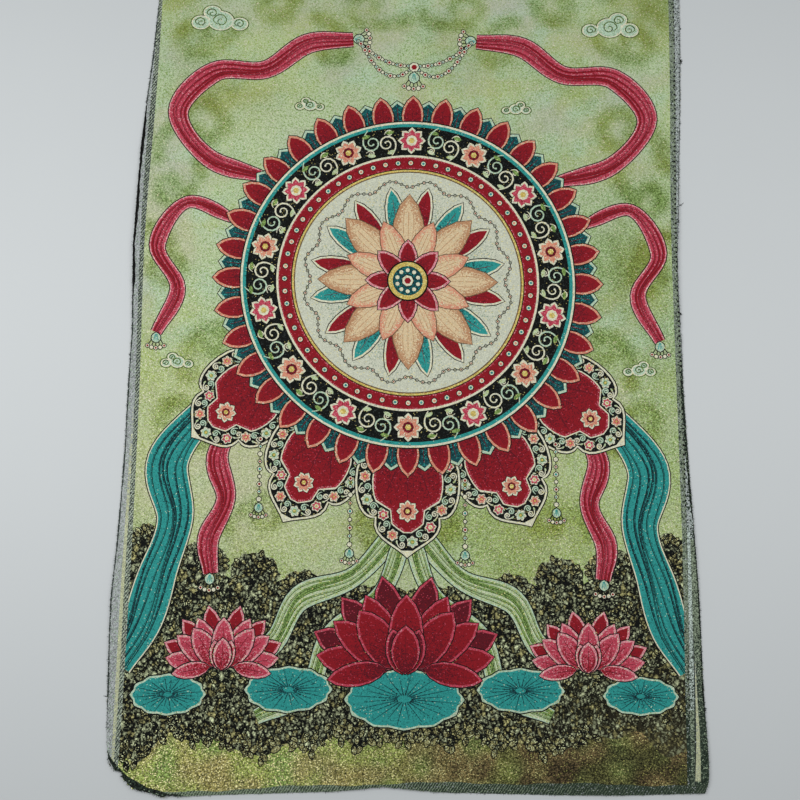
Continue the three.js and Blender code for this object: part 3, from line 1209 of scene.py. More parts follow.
def ground_mix(points, seed):
    """How strongly each tone of the plain ground shows at woven places."""
    p, q = points.T
    field = {}
    for k, (name, size) in enumerate(FIELD_SIZES.items()):
        field[name] = smooth_noise(points, size, seed + k)
    curls, halo = curl_marks(np.stack([np.abs(p), q], 1))
    # Parts of the ground, each 1 where it is at its fullest.
    middle = unit((q - 330) / 200) * unit((780 - q) / 160)
    to_right, to_left = middle * unit(p / 150), middle * unit(-p / 150)
    high = unit((q - 600) / 200)
    lower = unit((520 - q) / 110)
    far_left = unit(-p / 130)
    pale = far_left * soft_bell((q - 290) / 85)
    grassland = unit(p / 110) * unit((420 - q) / 110)

    # Greener places: the cloud lines, random patches and the broad ones of the table.
    patches = (0.34 * np.maximum(field["broad"], 0) + 0.1 * field["fine"]) * (1.15 - 0.55 * high)
    patches = patches * (1 + 0.5 * to_right - 0.45 * to_left)
    patches = patches + 0.08 * soft_bell((q - 430) / 60) * unit(np.abs(p) / 130) + 0.14 * grassland
    curls = curls * (0.85 + 0.35 * field["fine"]) * (1 - 0.15 * to_left - 0.2 * high)
    dark = curls + patches + 0.15 * to_right
    for patch in GROUND_PATCHES:
        off = ((p - patch.across) / patch.wide) ** 2 + ((q - patch.up) / patch.tall) ** 2
        dark = dark + patch.amount * (0.9 + 0.3 * field["fine"]) * np.exp(-off)
    dark = np.clip(dark, 0, 1.2)

    mint = np.clip(0.6 * field["mint"] + 0.5 * field["cool"], 0, 0.8)
    grey = np.clip(0.8 * field["grey"] + 0.5 * halo - 0.4 * field["cool"], 0, 0.8)
    sunny = to_left * unit(0.45 + 0.6 * field["broad"]) + 0.8 * pale
    lime = (0.5 * field["warm"] - 0.45 * field["cool"]) * (1 - 0.5 * lower) + 0.16 * high
    lime = lime + lower * (0.36 + 0.54 * far_left) - 0.4 * pale + 0.55 * grassland
    tones = {
        "mint": mint * unit(1 - dark) * (1 - 0.6 * lower * far_left - 0.7 * grassland),
        "grey": grey * unit(1 - dark),
        "green": dark,
        "olive": dark * unit(0.42 + 0.75 * field["warm"]),
        "sunny": unit(sunny) * (1 - 0.7 * unit(dark)),
        "lime": unit(lime) * (1 - 0.5 * dark),
    }
    meadow = unit((MEADOW_TOP - q) / 12)
    tones = {name: tone * (1 - meadow) for name, tone in tones.items()}
    return tones | meadow_tones(meadow, p, field)


def meadow_tones(meadow, p, field):
    """The tones of the grassy strip at the foot of the ground, darker to the right: partly its own colour,
    partly painted shade.
    """
    # The meadow darkens to the right, partly in its own colour and partly as painted shade.
    shade = unit((p + 70) / 210 + 0.3 * field["fine"])
    return {
        "meadow": meadow,
        "meadow_green": meadow * unit(0.35 + 1.6 * field["grassy"]),
        "meadow_tan": meadow * unit(0.3 + 1.7 * field["wet"]) * (0.7 + 0.3 * shade),
        "meadow_dark": meadow * shade * unit(0.85 + 0.35 * field["dark"]),
    }


# ---------------- the cut mesh
# Points nearer to each other than this become one.
JOIN_GAP = 0.02
# The cut edge: the length of its steps, how far they stand in and out, its few nicks, and the
# torn corner, where it is cut in deeper the lower it lies.
RAGGED_STEP = 2.2
RAGGED_IN, RAGGED_OUT = -0.28, 0.22
NICK_SHARE, NICK_LEAST, NICK_MOST = 0.02, 0.3, 0.9
TEAR_RIGHT, TEAR_TOP, TEAR_FADE, TEAR_DEPTH = -230, 50, 30, 1.6


def triangulated(points, edges):
    """A flat mesh of triangles that keeps the edges."""
    made = delaunay_2d_cdt([Vector(p) for p in points], edges, [], 0, JOIN_GAP, False)
    return np.array([tuple(v) for v in made[0]]), np.array(made[2], int)


def closed_edges(first, number):
    """The edges of an outline whose points follow each other."""
    return [(first + k, first + (k + 1) % number) for k in range(number)]


def ragged(outline, rng):
    """The cut edge at thread scale: short steps and a few nicks."""
    points = []
    for a, b in zip(outline, np.roll(outline, -1, axis=0)):
        n = max(1, round(np.linalg.norm(b - a) / RAGGED_STEP))
        points += [a + (b - a) * k / n for k in range(n)]
    points = np.array(points)
    number = len(points)
    torn = unit((TEAR_TOP - points[:, 1]) / TEAR_FADE) * (points[:, 0] < TEAR_RIGHT)
    depth = rng.uniform(RAGGED_IN, RAGGED_OUT, number) - torn * rng.uniform(0, TEAR_DEPTH, number)
    depth -= (rng.random(number) < NICK_SHARE) * rng.uniform(NICK_LEAST, NICK_MOST, number)
    return grown(points, depth[:, None])


def owners(shapes, centres):
    """For each place, the number of the last shape that covers it, or -1."""
    order = np.argsort(centres[:, 1])
    x, y = centres[order].T
    owner = np.full(len(centres), -1)
    for number, (outline, _, _) in enumerate(shapes):
        (left, low), (right, high) = outline.min(0), outline.max(0)
        first, last = np.searchsorted(y, (low, high))
        near = first + np.flatnonzero((x[first:last] > left) & (x[first:last] < right))
        if len(near):
            owner[near[turns_round(outline, x[near], y[near]) != 0]] = number
    found = np.empty_like(owner)
    found[order] = owner
    return found


def face_edges(faces):
    """Each edge once, with the one or two faces beside it."""
    edges = np.sort(faces[:, [0, 1, 1, 2, 2, 0]].reshape(-1, 2), axis=1)
    beside = np.repeat(np.arange(len(faces)), 3)
    order = np.lexsort((edges[:, 1], edges[:, 0]))
    edges, beside = edges[order], beside[order]
    new = np.r_[True, (edges[1:] != edges[:-1]).any(1)]
    starts = np.flatnonzero(new)
    counts = np.diff(np.r_[starts, len(edges)])
    second = np.where(counts > 1, beside[np.minimum(starts + 1, len(edges) - 1)], -1)
    return edges[starts], beside[starts], second


def visible_lines(shapes, outline):
    """Places and edges of the lines where the cloth's look changes once all shapes lie."""
    points, edges = [outline], closed_edges(0, len(outline))
    first = len(outline)
    for shape, _, _ in shapes:
        points.append(shape)
        edges += closed_edges(first, len(shape))
        first += len(shape)
    flat, faces = triangulated(np.vstack(points), edges)
    centres = flat[faces].mean(1)
    owner = np.where(inside(outline, centres), owners(shapes, centres), -2)
    seen = {}
    looks = np.array([seen.setdefault(repr(shape[1:]), len(seen)) for shape in shapes])
    look = np.where(owner >= 0, looks[owner], owner)
    pairs, one, two = face_edges(faces)
    other = np.where(two >= 0, look[two], -2)
    used, renamed = np.unique(pairs[look[one] != other], return_inverse=True)
    return flat[used], renamed.reshape(-1, 2).tolist()


def filling(outline, drawn, step):
    """Places between the lines, in rows that are set off by half a step in turn."""
    low, high = outline.min(0) + step * 0.4, outline.max(0)
    across = np.arange(low[0], high[0], step)
    rows = []
    for r, up in enumerate(np.arange(low[1], high[1], step * 0.87)):
        row = across + (step / 2 if r % 2 else 0)
        rows.append(np.stack([row, np.full_like(row, up)], 1))
    places = np.vstack(rows)
    places = places[inside(outline, places)]
    return places[far_from(places, drawn, step * 0.28)]


def cut_shapes(shapes, outline, step):
    """The cloth's upper skin: triangles that follow every visible line, and their shapes."""
    drawn, edges = visible_lines(shapes, outline)
    flat, faces = triangulated(np.vstack([drawn, filling(outline, drawn, step)]), edges)
    faces = faces[inside(outline, flat[faces].mean(1))]
    return flat, faces, owners(shapes, flat[faces].mean(1))


def far_from(places, others, gap):
    """Which places have no other within a gap, tested on a grid of that size."""
    # A row of the grid counts more cells than there are in one, so that each has its own number.
    row = 100003

    def cells(points):
        return np.floor(points / gap).astype(int) @ (1, row)

    taken = cells(others)
    steps = [np.array([i, j]) * gap for i in (-1, 0, 1) for j in (-1, 0, 1)]
    return ~np.any([np.isin(cells(places + step), taken) for step in steps], axis=0)


# ---------------- materials
class Wire:
    """An output socket whose arithmetic adds Math nodes to its tree."""

    def __init__(self, look, socket):
        self.look = look
        self.socket = socket

    def math(self, operation, *others, clamp=False):
        settings = {"operation": operation, "use_clamp": clamp}
        sockets = dict(enumerate((self, *others)))
        return self.look.node("ShaderNodeMath", settings, sockets)

    def __add__(self, other):
        return self.math("ADD", other)

    __radd__ = __add__

    def __mul__(self, other):
        return self.math("MULTIPLY", other)

    __rmul__ = __mul__

    def __sub__(self, other):
        return self.math("SUBTRACT", other)

    def __rsub__(self, other):
        return (self * -1) + other

    def __truediv__(self, other):
        return self.math("DIVIDE", other)

    def __lt__(self, other):
        return self.math("LESS_THAN", other)

    def __gt__(self, other):
        return self.math("GREATER_THAN", other)

    def floor(self):
        return self.math("FLOOR")

    def fract(self):
        return self.math("FRACT")

    def sine(self):
        return self.math("SINE")

    def clamped(self):
        return self.math("ADD", 0.0, clamp=True)


class Look:
    """A material in the making, whose methods add nodes to its tree."""

    def __init__(self, name):
        self.material = bpy.data.materials.new(name)
        self.material.use_nodes = True
        self.tree = self.material.node_tree
        self.tree.nodes.clear()

    def node(self, kind, settings=None, sockets=None, output=0):
        """A new node's output. Its settings are set first, and then its sockets."""
        node = self.tree.nodes.new(kind)
        for key, value in (settings or {}).items():
            if key == "stops":
                self.set_stops(node.color_ramp, value)
            else:
                setattr(node, key, value)
        for key, value in (sockets or {}).items():
            if isinstance(value, Wire):
                self.tree.links.new(value.socket, node.inputs[key])
            else:
                node.inputs[key].default_value = value
        return Wire(self, node.outputs[output])

    @staticmethod
    def set_stops(ramp, stops):
        while len(ramp.elements) < len(stops):
            ramp.elements.new(0.5)
        for element, (position, colour) in zip(ramp.elements, stops):
            element.position = position
            element.color = colour

    def attribute(self, name, output=0):
        return self.node("ShaderNodeAttribute", {"attribute_name": name}, output=output)

    def parts(self, vector):
        split = self.node("ShaderNodeSeparateXYZ", sockets={0: vector})
        return [Wire(self, socket) for socket in split.socket.node.outputs]

    def vector(self, x, y, z=0.0):
        return self.node("ShaderNodeCombineXYZ", sockets={0: x, 1: y, 2: z})

    def random(self, vector):
        return self.node("ShaderNodeTexWhiteNoise", {"noise_dimensions": "3D"}, {0: vector})

    def noise(self, vector, scale, detail, output=0):
        sockets = {"Vector": vector, "Scale": scale, "Detail": detail, "Roughness": 0.5}
        return self.node("ShaderNodeTexNoise", sockets=sockets, output=output)

    def mix(self, share, a, b):
        settings = {"data_type": "RGBA", "blend_type": "MIX", "clamp_factor": True}
        return self.node("ShaderNodeMix", settings, {0: share, 6: a, 7: b}, output=2)

    def scaled(self, colour, by):
        return self.node("ShaderNodeVectorMath", {"operation": "SCALE"}, {0: colour, "Scale": by})

    def bump(self, height, distance):
        sockets = {"Height": height, "Distance": distance, "Strength": 1.0}
        return self.node("ShaderNodeBump", sockets=sockets)

    def finish(self, **sockets):
        names = {key.replace("_", " ").title(): value for key, value in sockets.items()}
        names = {key.replace("Ior", "IOR"): value for key, value in names.items()}
        shader = self.node("ShaderNodeBsdfPrincipled", sockets=names)
        output = self.tree.nodes.new("ShaderNodeOutputMaterial")
        self.tree.links.new(shader.socket, output.inputs["Surface"])
        return self.material


# How many of the cloth's finer patterns fit in a metre.
CLUMPS = 420.0
SLANTS = 400.0
LUMPS_ACROSS = 700.0
LUMPS_ALONG = 720.0
TWILLS = 372.0
DOTS = 180.0
LEAF_SWAYS = 70.0
TWISTS = 2600.0
# How far the small leaves sway out of their rows, and the scale that makes them taller than wide.
LEAF_SWAY, LEAF_SCALE_UP = 1.4, 0.72
# The bank of leaves darkens and loses its contrast towards the lower right, as painted shade: where
# that begins across and up, in metres, how fast it grows, and the colour and share of the painted shade.
SHADE_ACROSS, SHADE_UP = 0.1, 0.14
SHADE_GROWTH_ACROSS, SHADE_GROWTH_DOWN = 5.5, 9.0
SHADE_COLOUR, SHADE_SHARE = "46422b", 0.6


def weft_ribs(q, sizes):
    """Rounded ribs across the cloth."""
    return ((q / sizes.rib_pitch).fract() * math.pi).sine()


def small_leaves(look, column, row, sizes):
    """The leaves of the bank: the gap that parts them, and two random numbers for each."""
    point = look.vector(column * sizes.point_across, row * sizes.point_along)
    sway_across, sway_along, _ = look.parts(look.noise(point, LEAF_SWAYS, 1.0, output="Color"))
    leaf_p = column * sizes.point_across + (sway_across - 0.5) * sizes.leaf_pitch * LEAF_SWAY
    leaf_q = row * sizes.point_along * LEAF_SCALE_UP
    leaf_q = leaf_q + (sway_along - 0.5) * sizes.leaf_pitch * LEAF_SWAY
    sockets = {"Vector": look.vector(leaf_p, leaf_q), "Scale": 1 / sizes.leaf_pitch}
    nearest, next_nearest = (
        look.node("ShaderNodeTexVoronoi", {"feature": feature, "distance": "MANHATTAN"}, sockets)
        for feature in ("F1", "F2")
    )
    pick, glow, _ = look.parts(Wire(look, nearest.socket.node.outputs["Color"]))
    return next_nearest - nearest, pick, glow


def brocade_look(sizes):
    """The right side: coloured points of yarn on weft ribs, with gold glints."""
    look = Look("brocade_face")
    p, q, _ = look.parts(look.attribute("woven_at", 1))
    row = (q / sizes.point_along).floor()
    column = (p / sizes.point_across + (row * 0.5).fract()).floor()
    pick, glow, spark = (look.random(look.vector(column, row, layer)) for layer in (0.0, 7.0, 13.0))
    clump = look.noise(look.vector(p, q), CLUMPS, 1.0)
    slant = ((p * 0.8 + q * 0.6) * SLANTS + clump * 2.5).fract()
    lump_row = (q * LUMPS_ALONG).floor()
    lump_column = (p * LUMPS_ACROSS + (lump_row * 0.5).fract()).floor()
    lump = look.random(look.vector(lump_column, lump_row, 5.0))
    dot_sway = look.random(look.vector(0.0, (q * (DOTS / 2)).floor(), 3.0))
    leaf_gap, leaf_pick, leaf_glow = small_leaves(look, column, row, sizes)
    setting = look.attribute("setting", 2)

    # The second yarn shows at the points whose order is below its share.
    orders = {
        "scattered": pick * 0.62 + (clump - 0.5) * 0.9 + slant * 0.24 + 0.07,
        "twill": ((p * 0.9 - q * 0.62) * TWILLS + (pick - 0.5) * 0.45).fract(),
        "dotted": (q * DOTS + (dot_sway - 0.5) * 0.5).fract(),
        "speckled": lump,
        "leafy": 1.0 - leaf_gap * 1.9 + (pick - 0.5) * 0.2,
    }
    order, is_set = 0.0, {}
    for name, value in orders.items():
        number = SETTINGS_OF_POINTS[name]
        is_set[name] = (setting > number - 0.5) * (setting < number + 0.5)
        order = value * is_set[name] + order
    leafy = is_set["leafy"]
    share_here = look.attribute("second_share", 2)
    second = order < share_here * (1 - leafy) + leafy * (share_here * 0.2 + 0.6)
    glint_pick = spark * (1 - leafy) + leaf_pick * leafy
    glint = (glint_pick < look.attribute("glint_share", 2)) * (1 - leafy * (1 - second))

    colour = look.mix(second, look.attribute("main_yarn"), look.attribute("second_yarn"))
    colour = look.mix(glint, colour, look.attribute("glint_yarn"))
    unevenness = (glow - 0.5) * (sizes.contrast * 2) + (clump - 0.5) * 0.45
    light = unevenness * look.attribute("liveliness", 2) + 1.0
    leaf_light = share_here + leaf_gap * 1.45 + (leaf_glow - 0.5) * 0.65
    leaf_light = leaf_light + (lump - 0.5) * 1.25 + (lump > 0.9) * 0.8 - 0.58
    colour = look.scaled(colour, light * (leafy * second * (leaf_light - 1.0) + 1.0))
    # Painted shade: the leaves darken and lose their contrast towards the lower right.
    painted_shade = ((p - SHADE_ACROSS) * SHADE_GROWTH_ACROSS).clamped()
    painted_shade = painted_shade * ((SHADE_UP - q) * SHADE_GROWTH_DOWN).clamped() * leafy
    colour = look.mix(painted_shade * SHADE_SHARE, colour, (*yarn_colour(SHADE_COLOUR), 1))

    shine = glint * (1 - leafy)
    return look.finish(
        base_color=colour,
        roughness=0.62 - shine * 0.24 + (glow - 0.5) * 0.1,
        metallic=shine * 0.3,
        specular_ior_level=0.1,
        normal=look.bump(weft_ribs(q, sizes) * 0.6 + glow * 0.5 + shine * 0.6, sizes.relief),
    )


# The colours of the loose floats on the wrong side, and where each stands in their range.
FLOAT_COLOURS = ((0.0, "2a2f2e"), (0.35, "6d7468"), (0.6, "a9ab93"), (1.0, "d9d4b8"))
FLOATS = 55.0
FLOAT_JUMPS = 40.0


def reverse_look(sizes):
    """The wrong side: long loose weft floats in the yarns of the picture."""
    look = Look("brocade_back")
    p, q, _ = look.parts(look.attribute("woven_at", 1))
    row = (q / sizes.rib_pitch).floor()
    run = look.noise(look.vector(p * FLOATS, row * 0.73), 1.0, 1.0)
    shift = look.random(look.vector(0.0, row))
    jump = look.random(look.vector((p * FLOAT_JUMPS + shift).floor(), row))
    stops = [(place, (*yarn_colour(code), 1)) for place, code in FLOAT_COLOURS]
    floats = look.node("ShaderNodeValToRGB", {"stops": stops}, {0: jump * 0.7 + run * 0.3})
    return look.finish(
        base_color=look.mix(0.55, floats, look.attribute("main_yarn")),
        roughness=0.7 + (jump - 0.5) * 0.1,
        specular_ior_level=0.3,
        normal=look.bump(weft_ribs(q, sizes) * 0.8 + jump * 0.4, sizes.relief * 1.4),
    )


def yarn_end_look():
    """The loose ends of the yarns, with a little twist."""
    look = Look("yarn_ends")
    place = look.node("ShaderNodeNewGeometry")
    twist = look.noise(place, TWISTS, 2.0)
    colour = look.scaled(look.attribute("main_yarn"), twist * 0.7 + 0.65)
    return look.finish(
        base_color=colour,
        roughness=0.8 + (twist - 0.5) * 0.2,
        specular_ior_level=0.25,
        normal=look.bump(twist, 0.0001),
    )


def floor_look(stage):
    """A plain floor, a little cloudy."""
    look = Look("plain_floor")
    place = look.node("ShaderNodeNewGeometry")
    cloudy = look.noise(place, 5.0, 3.0)
    colour = look.scaled(tuple(stage.floor_colour), cloudy * 0.03 + 0.985)
    return look.finish(base_color=colour, roughness=0.55 + (cloudy - 0.5) * 0.06, specular_ior_level=0.3)


# ---------------- mesh building
def add_values(mesh, name, values):
    """An attribute with a number or a colour for each face corner."""
    if values.ndim == 1:
        mesh.attributes.new(name, "FLOAT", "CORNER").data.foreach_set("value", values.astype(float))
    else:
        colours = np.column_stack([values, np.ones(len(values))])
        mesh.color_attributes.new(name, "FLOAT_COLOR", "CORNER").data.foreach_set("color", colours.ravel())


def new_object(mesh, name):
    made = bpy.data.objects.new(name, mesh)
    bpy.context.scene.collection.objects.link(made)
    return made


def yarn_table(scene):
    """The colour of each yarn, by its name."""
    return {key: np.array(getattr(scene.thangka_yarns, key)) for key in YARNS}


class Weaving:
    """The yarn colours and shares of each face corner of a skin."""

    def __init__(self, scene, shapes, seed):
        self.yarn = yarn_table(scene)
        self.shapes = shapes
        self.seed = seed

    def area_values(self, area):
        """The values of an area, by the names of the mesh's attributes."""
        return {
            "main_yarn": self.yarn[area.main],
            "second_yarn": self.yarn[area.second],
            "glint_yarn": self.yarn[area.glint],
            "second_share": area.share,
            "glint_share": area.glints,
            "setting": SETTINGS_OF_POINTS[area.setting],
            "liveliness": area.liveliness,
        }

    def corner_values(self, flat, faces, owner):
        """The values of the corners, face by face."""
        where = flat[faces.ravel()]
        own = np.repeat(owner, 3)
        index = {name: i for i, name in enumerate(AREAS)}
        area = np.array([index[shape[1]] for shape in self.shapes] + [index["ground"]])[own]
        rows = [self.area_values(row) for row in AREAS.values()]
        values = {key: np.array([row[key] for row in rows])[area] for key in rows[0]}

        first = np.zeros((len(self.shapes) + 1, 2))
        last = np.zeros_like(first)
        ends = np.full_like(first, np.nan)
        for number, (_, _, shading) in enumerate(self.shapes):
            if shading:
                first[number], last[number], ends[number] = shading[0], shading[1], shading[2:]
        way = last - first
        reach = np.maximum((way**2).sum(1), 1e-9)
        t = np.clip(((where - first[own]) * way[own]).sum(1) / reach[own], 0, 1)
        mix = ends[own, 0] * (1 - t) + ends[own, 1] * t
        values["second_share"] = np.where(np.isnan(mix), values["second_share"], mix)
        self.colour_ground(where, own < 0, values)
        return values

    def colour_ground(self, where, ground, values):
        """The mottled ground, worked out at each of its corners."""
        tones = ground_mix(unlie(where[ground]), self.seed)
        for key, column in (("main_yarn", "main"), ("second_yarn", "second"), ("glint_yarn", "glint")):
            colour = values[key][ground]
            for tone in GROUND_TONES:
                amount = tones[tone.name] * getattr(tone, column)
                colour += (self.yarn[tone.yarn] - colour) * unit(amount)[:, None]
            values[key][ground] = colour
        # The second yarn, the glints and the liveliness grow with the greens and in the meadow.
        dark, meadow = tones["green"], tones["meadow"]
        near = np.clip(1.2 - where[ground][:, 1] / 1100, 0.4, 1.2)
        meadow_glints = 0.13 * meadow - 0.1 * meadow * tones["meadow_dark"]
        values["second_share"][ground] = 0.31 + 0.17 * dark + 0.19 * meadow
        values["glint_share"][ground] = 0.02 + 0.05 * tones["lime"] + meadow_glints
        values["liveliness"][ground] = (0.85 + 1.1 * dark) * near + 1.3 * meadow


def rim_loop(faces):
    """The closed loop of vertices round a skin."""
    pairs, _, two = face_edges(faces)
    loose = {tuple(pair) for pair in pairs[two < 0]}
    following = {}
    for face in faces.tolist():
        for a, b in zip(face, face[1:] + face[:1]):
            if (min(a, b), max(a, b)) in loose:
                following[a] = b
    return np.array(one_loop(following))


def facing_up(flat, faces):
    """The faces turned so that they all run the same way round."""
    a, b, c = (flat[faces[:, k]] for k in range(3))
    turn = (b - a)[:, 0] * (c - a)[:, 1] - (b - a)[:, 1] * (c - a)[:, 0]
    return np.where((turn < 0)[:, None], faces[:, ::-1], faces)


# The lower skin's points: their distance from each other and from its edge, and how far the
# edge may move.
LOWER_STEP, LOWER_GAP, EDGE_SLIP = 14.0, 4.0, 0.05


def lower_skin(edge, outline):
    """The plain skin under the cloth: places and faces inside the upper skin's edge."""
    low, high = outline.min(0), outline.max(0)
    across, ups = (np.arange(low[k], high[k], LOWER_STEP) for k in (0, 1))
    coarse = np.array([(x, y) for y in ups for x in across])
    coarse = coarse[inside(edge, coarse)]
    coarse = coarse[far_from(coarse, edge, LOWER_GAP)]
    under, faces = triangulated(np.vstack([edge, coarse]), closed_edges(0, len(edge)))
    if np.abs(under[: len(edge)] - edge).max() > EDGE_SLIP:
        raise RuntimeError("The lower skin lost its edge")
    faces = faces[inside(edge, under[faces].mean(1))]
    return under, facing_up(under, faces)[:, ::-1]


# The lying places of both skins, the faces of each skin and of the rim between them, and how
# many of the places are the upper skin's.
Skins = namedtuple("Skins", "places upper lower rim split")


def cloth_skins(shapes, outline, step):
    """The closed cloth, and the shape that each face of its upper skin shows."""
    flat, upper, owner = cut_shapes(shapes, outline, step)
    upper = facing_up(flat, upper)
    loop = rim_loop(upper)
    under, lower = lower_skin(flat[loop], outline)
    split = len(flat)
    below = split + np.arange(len(loop))
    rim = np.stack([loop, below, np.roll(below, -1), np.roll(loop, -1)], 1)
    return Skins(np.vstack([flat, under]), upper, lower + split, rim, split), owner


def panel_mesh(scene):
    """The cloth's mesh with all its data, the cloth that it lies as, and its ragged outline."""
    sizes = scene.thangka_cloth
    cloth = CutCloth()
    outline = ragged(cloth.outline, np.random.default_rng(sizes.seed))
    cartoon = woven_picture(scene.thangka_motifs, sizes.seed)
    margins(cartoon, cloth.outline)
    skins, owner = cloth_skins(cartoon.shapes, outline, sizes.mesh_step / MM)

    thickness = sizes.thickness / MM
    heights = cloth.height(skins.places)
    heights[skins.split :] -= thickness
    lowest = np.zeros(len(heights))
    lowest[: skins.split] = thickness
    heights = np.maximum(heights, lowest)
    x, y = to_frame(skins.places)
    mesh = bpy.data.meshes.new("brocade_panel")
    faces = skins.upper.tolist() + skins.lower.tolist() + skins.rim.tolist()
    mesh.from_pydata(np.stack([x, y, heights * MM], 1).tolist(), [], faces)
    add_yarns(mesh, scene, cartoon.shapes, skins, owner)
    add_weave_places(mesh, skins)
    add_bake_map(mesh, skins)
    finish_faces(mesh, skins)
    return mesh, cloth, outline


# The cut edge between the two skins.
RIM = Area("charcoal", "black", 0.4, "grey", 0.2, 1.0)


def add_yarns(mesh, scene, shapes, skins, owner):
    """The yarn colours and shares of every face corner."""
    weaving = Weaving(scene, shapes, scene.thangka_cloth.seed)
    front = weaving.corner_values(skins.places, skins.upper, owner)
    under_owner = owners(shapes, skins.places[skins.lower].mean(1))
    back = weaving.corner_values(skins.places, skins.lower, under_owner)
    for name, value in weaving.area_values(RIM).items():
        edge = np.tile(value, (skins.rim.size, 1)) if np.size(value) > 1 else np.full(skins.rim.size, value)
        add_values(mesh, name, np.concatenate([front[name], back[name], edge]))


def add_weave_places(mesh, skins):
    """Where each vertex stands in the woven picture, in metres."""
    woven = unlie(skins.places) * MM
    layer = mesh.attributes.new("woven_at", "FLOAT_VECTOR", "POINT")
    layer.data.foreach_set("vector", np.column_stack([woven, np.zeros(len(woven))]).ravel())


def finish_faces(mesh, skins):
    """Material numbers, smooth skins and the sharp edges of the rim."""
    numbers = np.zeros(len(mesh.polygons), int)
    numbers[len(skins.upper) : len(skins.upper) + len(skins.lower)] = 1
    mesh.polygons.foreach_set("material_index", numbers)
    mesh.shade_smooth()
    mesh.update()
    on_rim = np.zeros(len(skins.places), bool)
    on_rim[skins.rim.ravel()] = True
    ends = np.zeros(len(mesh.edges) * 2, int)
    mesh.edges.foreach_get("vertices", ends)
    ends = ends.reshape(-1, 2)
    one_skin = (ends[:, 0] < skins.split) == (ends[:, 1] < skins.split)
    sharp = mesh.attributes.new("sharp_edge", "BOOLEAN", "EDGE")
    sharp.data.foreach_set("value", on_rim[ends].all(1) & one_skin)
    mesh.update()


# The heights in the bake map at which the upper skin starts, the rim ends and starts, and the
# lower skin ends.
BAKE_UPPER, BAKE_RIM_TOP, BAKE_RIM_FOOT, BAKE_LOWER = 0.07, 0.062, 0.056, 0.05


def add_bake_map(mesh, skins):
    """A flat map: the upper skin fills most of it, over strips for the rim and the lower skin."""
    low, high = skins.places.min(0), skins.places.max(0)
    corners = np.r_[skins.upper.ravel(), skins.lower.ravel(), skins.rim.ravel()]
    uv = ((skins.places - low) / (high - low))[corners]
    front = skins.upper.size
    reverse = front + skins.lower.size
    uv[:front, 1] = BAKE_UPPER + uv[:front, 1] * (1 - BAKE_UPPER)
    uv[front:reverse, 1] *= BAKE_LOWER
    here = np.arange(len(skins.rim)) / len(skins.rim)
    ahead = here + 1 / len(skins.rim)
    uv[reverse:, 0] = np.stack([here, here, ahead, ahead], 1).ravel()
    uv[reverse:, 1] = np.tile([BAKE_RIM_TOP, BAKE_RIM_FOOT, BAKE_RIM_FOOT, BAKE_RIM_TOP], len(skins.rim))
    mesh.uv_layers.new(name="OFBake", do_init=False)
    mesh.uv_layers["OFBake"].uv.foreach_set("vector", uv.ravel())


# ---------------- yarn ends
# Long strays and tufts: the side and height of each, its yarns, and their reach and lean.
Stray = namedtuple("Stray", "side up yarns reach lean")
STRAYS = (
    Stray(1, 845, 8, 2.4, 0.2),
    Stray(1, 805, 10, 3.0, -0.3),
    Stray(1, 634, 2, 5.5, 0.7),
    Stray(1, 616, 7, 2.4, 0.1),
    Stray(1, 512, 9, 2.8, -0.2),
    Stray(1, 420, 5, 2.0, 0.4),
    Stray(1, 96, 4, 2.6, -0.5),
    Stray(-1, 96, 2, 4.5, 0.6),
    Stray(-1, 455, 2, 2.4, -0.4),
    Stray(-1, 30, 8, 2.6, 0.2),
    Stray(-1, 20, 9, 2.8, 0.3),
)
TUFT_THICKNESS = 1.7
# The yarns of the cut edge, and how common each is at its sides and along its foot.
EDGE_YARNS = ("black", "charcoal", "slate", "grey", "khaki", "cream")
SIDE_SHARES = (0.34, 0.26, 0.16, 0.12, 0.06, 0.06)
FOOT_SHARES = (0.45, 0.2, 0.25, 0.05, 0.05, 0.0)
FOOT_TOP = 40
# The torn corner, where the ends are longer and stand closer together.
TORN_ACROSS, TORN_UP = -235, 38
LONGEST_END = 2.6
# Each end: where it starts inside the edge, how far it turns aside and bends, how deep under
# the cloth's face it comes out, and how thin its tips are.
END_ROOT = 0.7
END_TURN, END_BEND = 0.45, 0.25
END_SHALLOWEST, END_DEEPEST = 0.15, 0.8
TIP_SHARE = 0.45


def yarn_tube(path, radius):
    """Corners and faces of a thin four-sided yarn with pointed ends."""
    path = np.asarray(path, float)
    along = one_long(np.gradient(path, axis=0))
    side = one_long(np.cross(along, (0.0, 0.0, 1.0)))
    over = np.cross(side, along)
    r = np.full((len(path), 1), radius)
    r[[0, -1]] *= TIP_SHARE
    corners = np.stack([path + side * r, path + over * r, path - side * r, path - over * r], 1)
    faces = []
    for k in range(len(path) - 1):
        for j in range(4):
            a, b = k * 4 + j, k * 4 + (j + 1) % 4
            faces.append((a, b, b + 4, a + 4))
    last = (len(path) - 1) * 4
    faces += [(3, 2, 1, 0), (last, last + 1, last + 2, last + 3)]
    return corners.reshape(-1, 3), faces


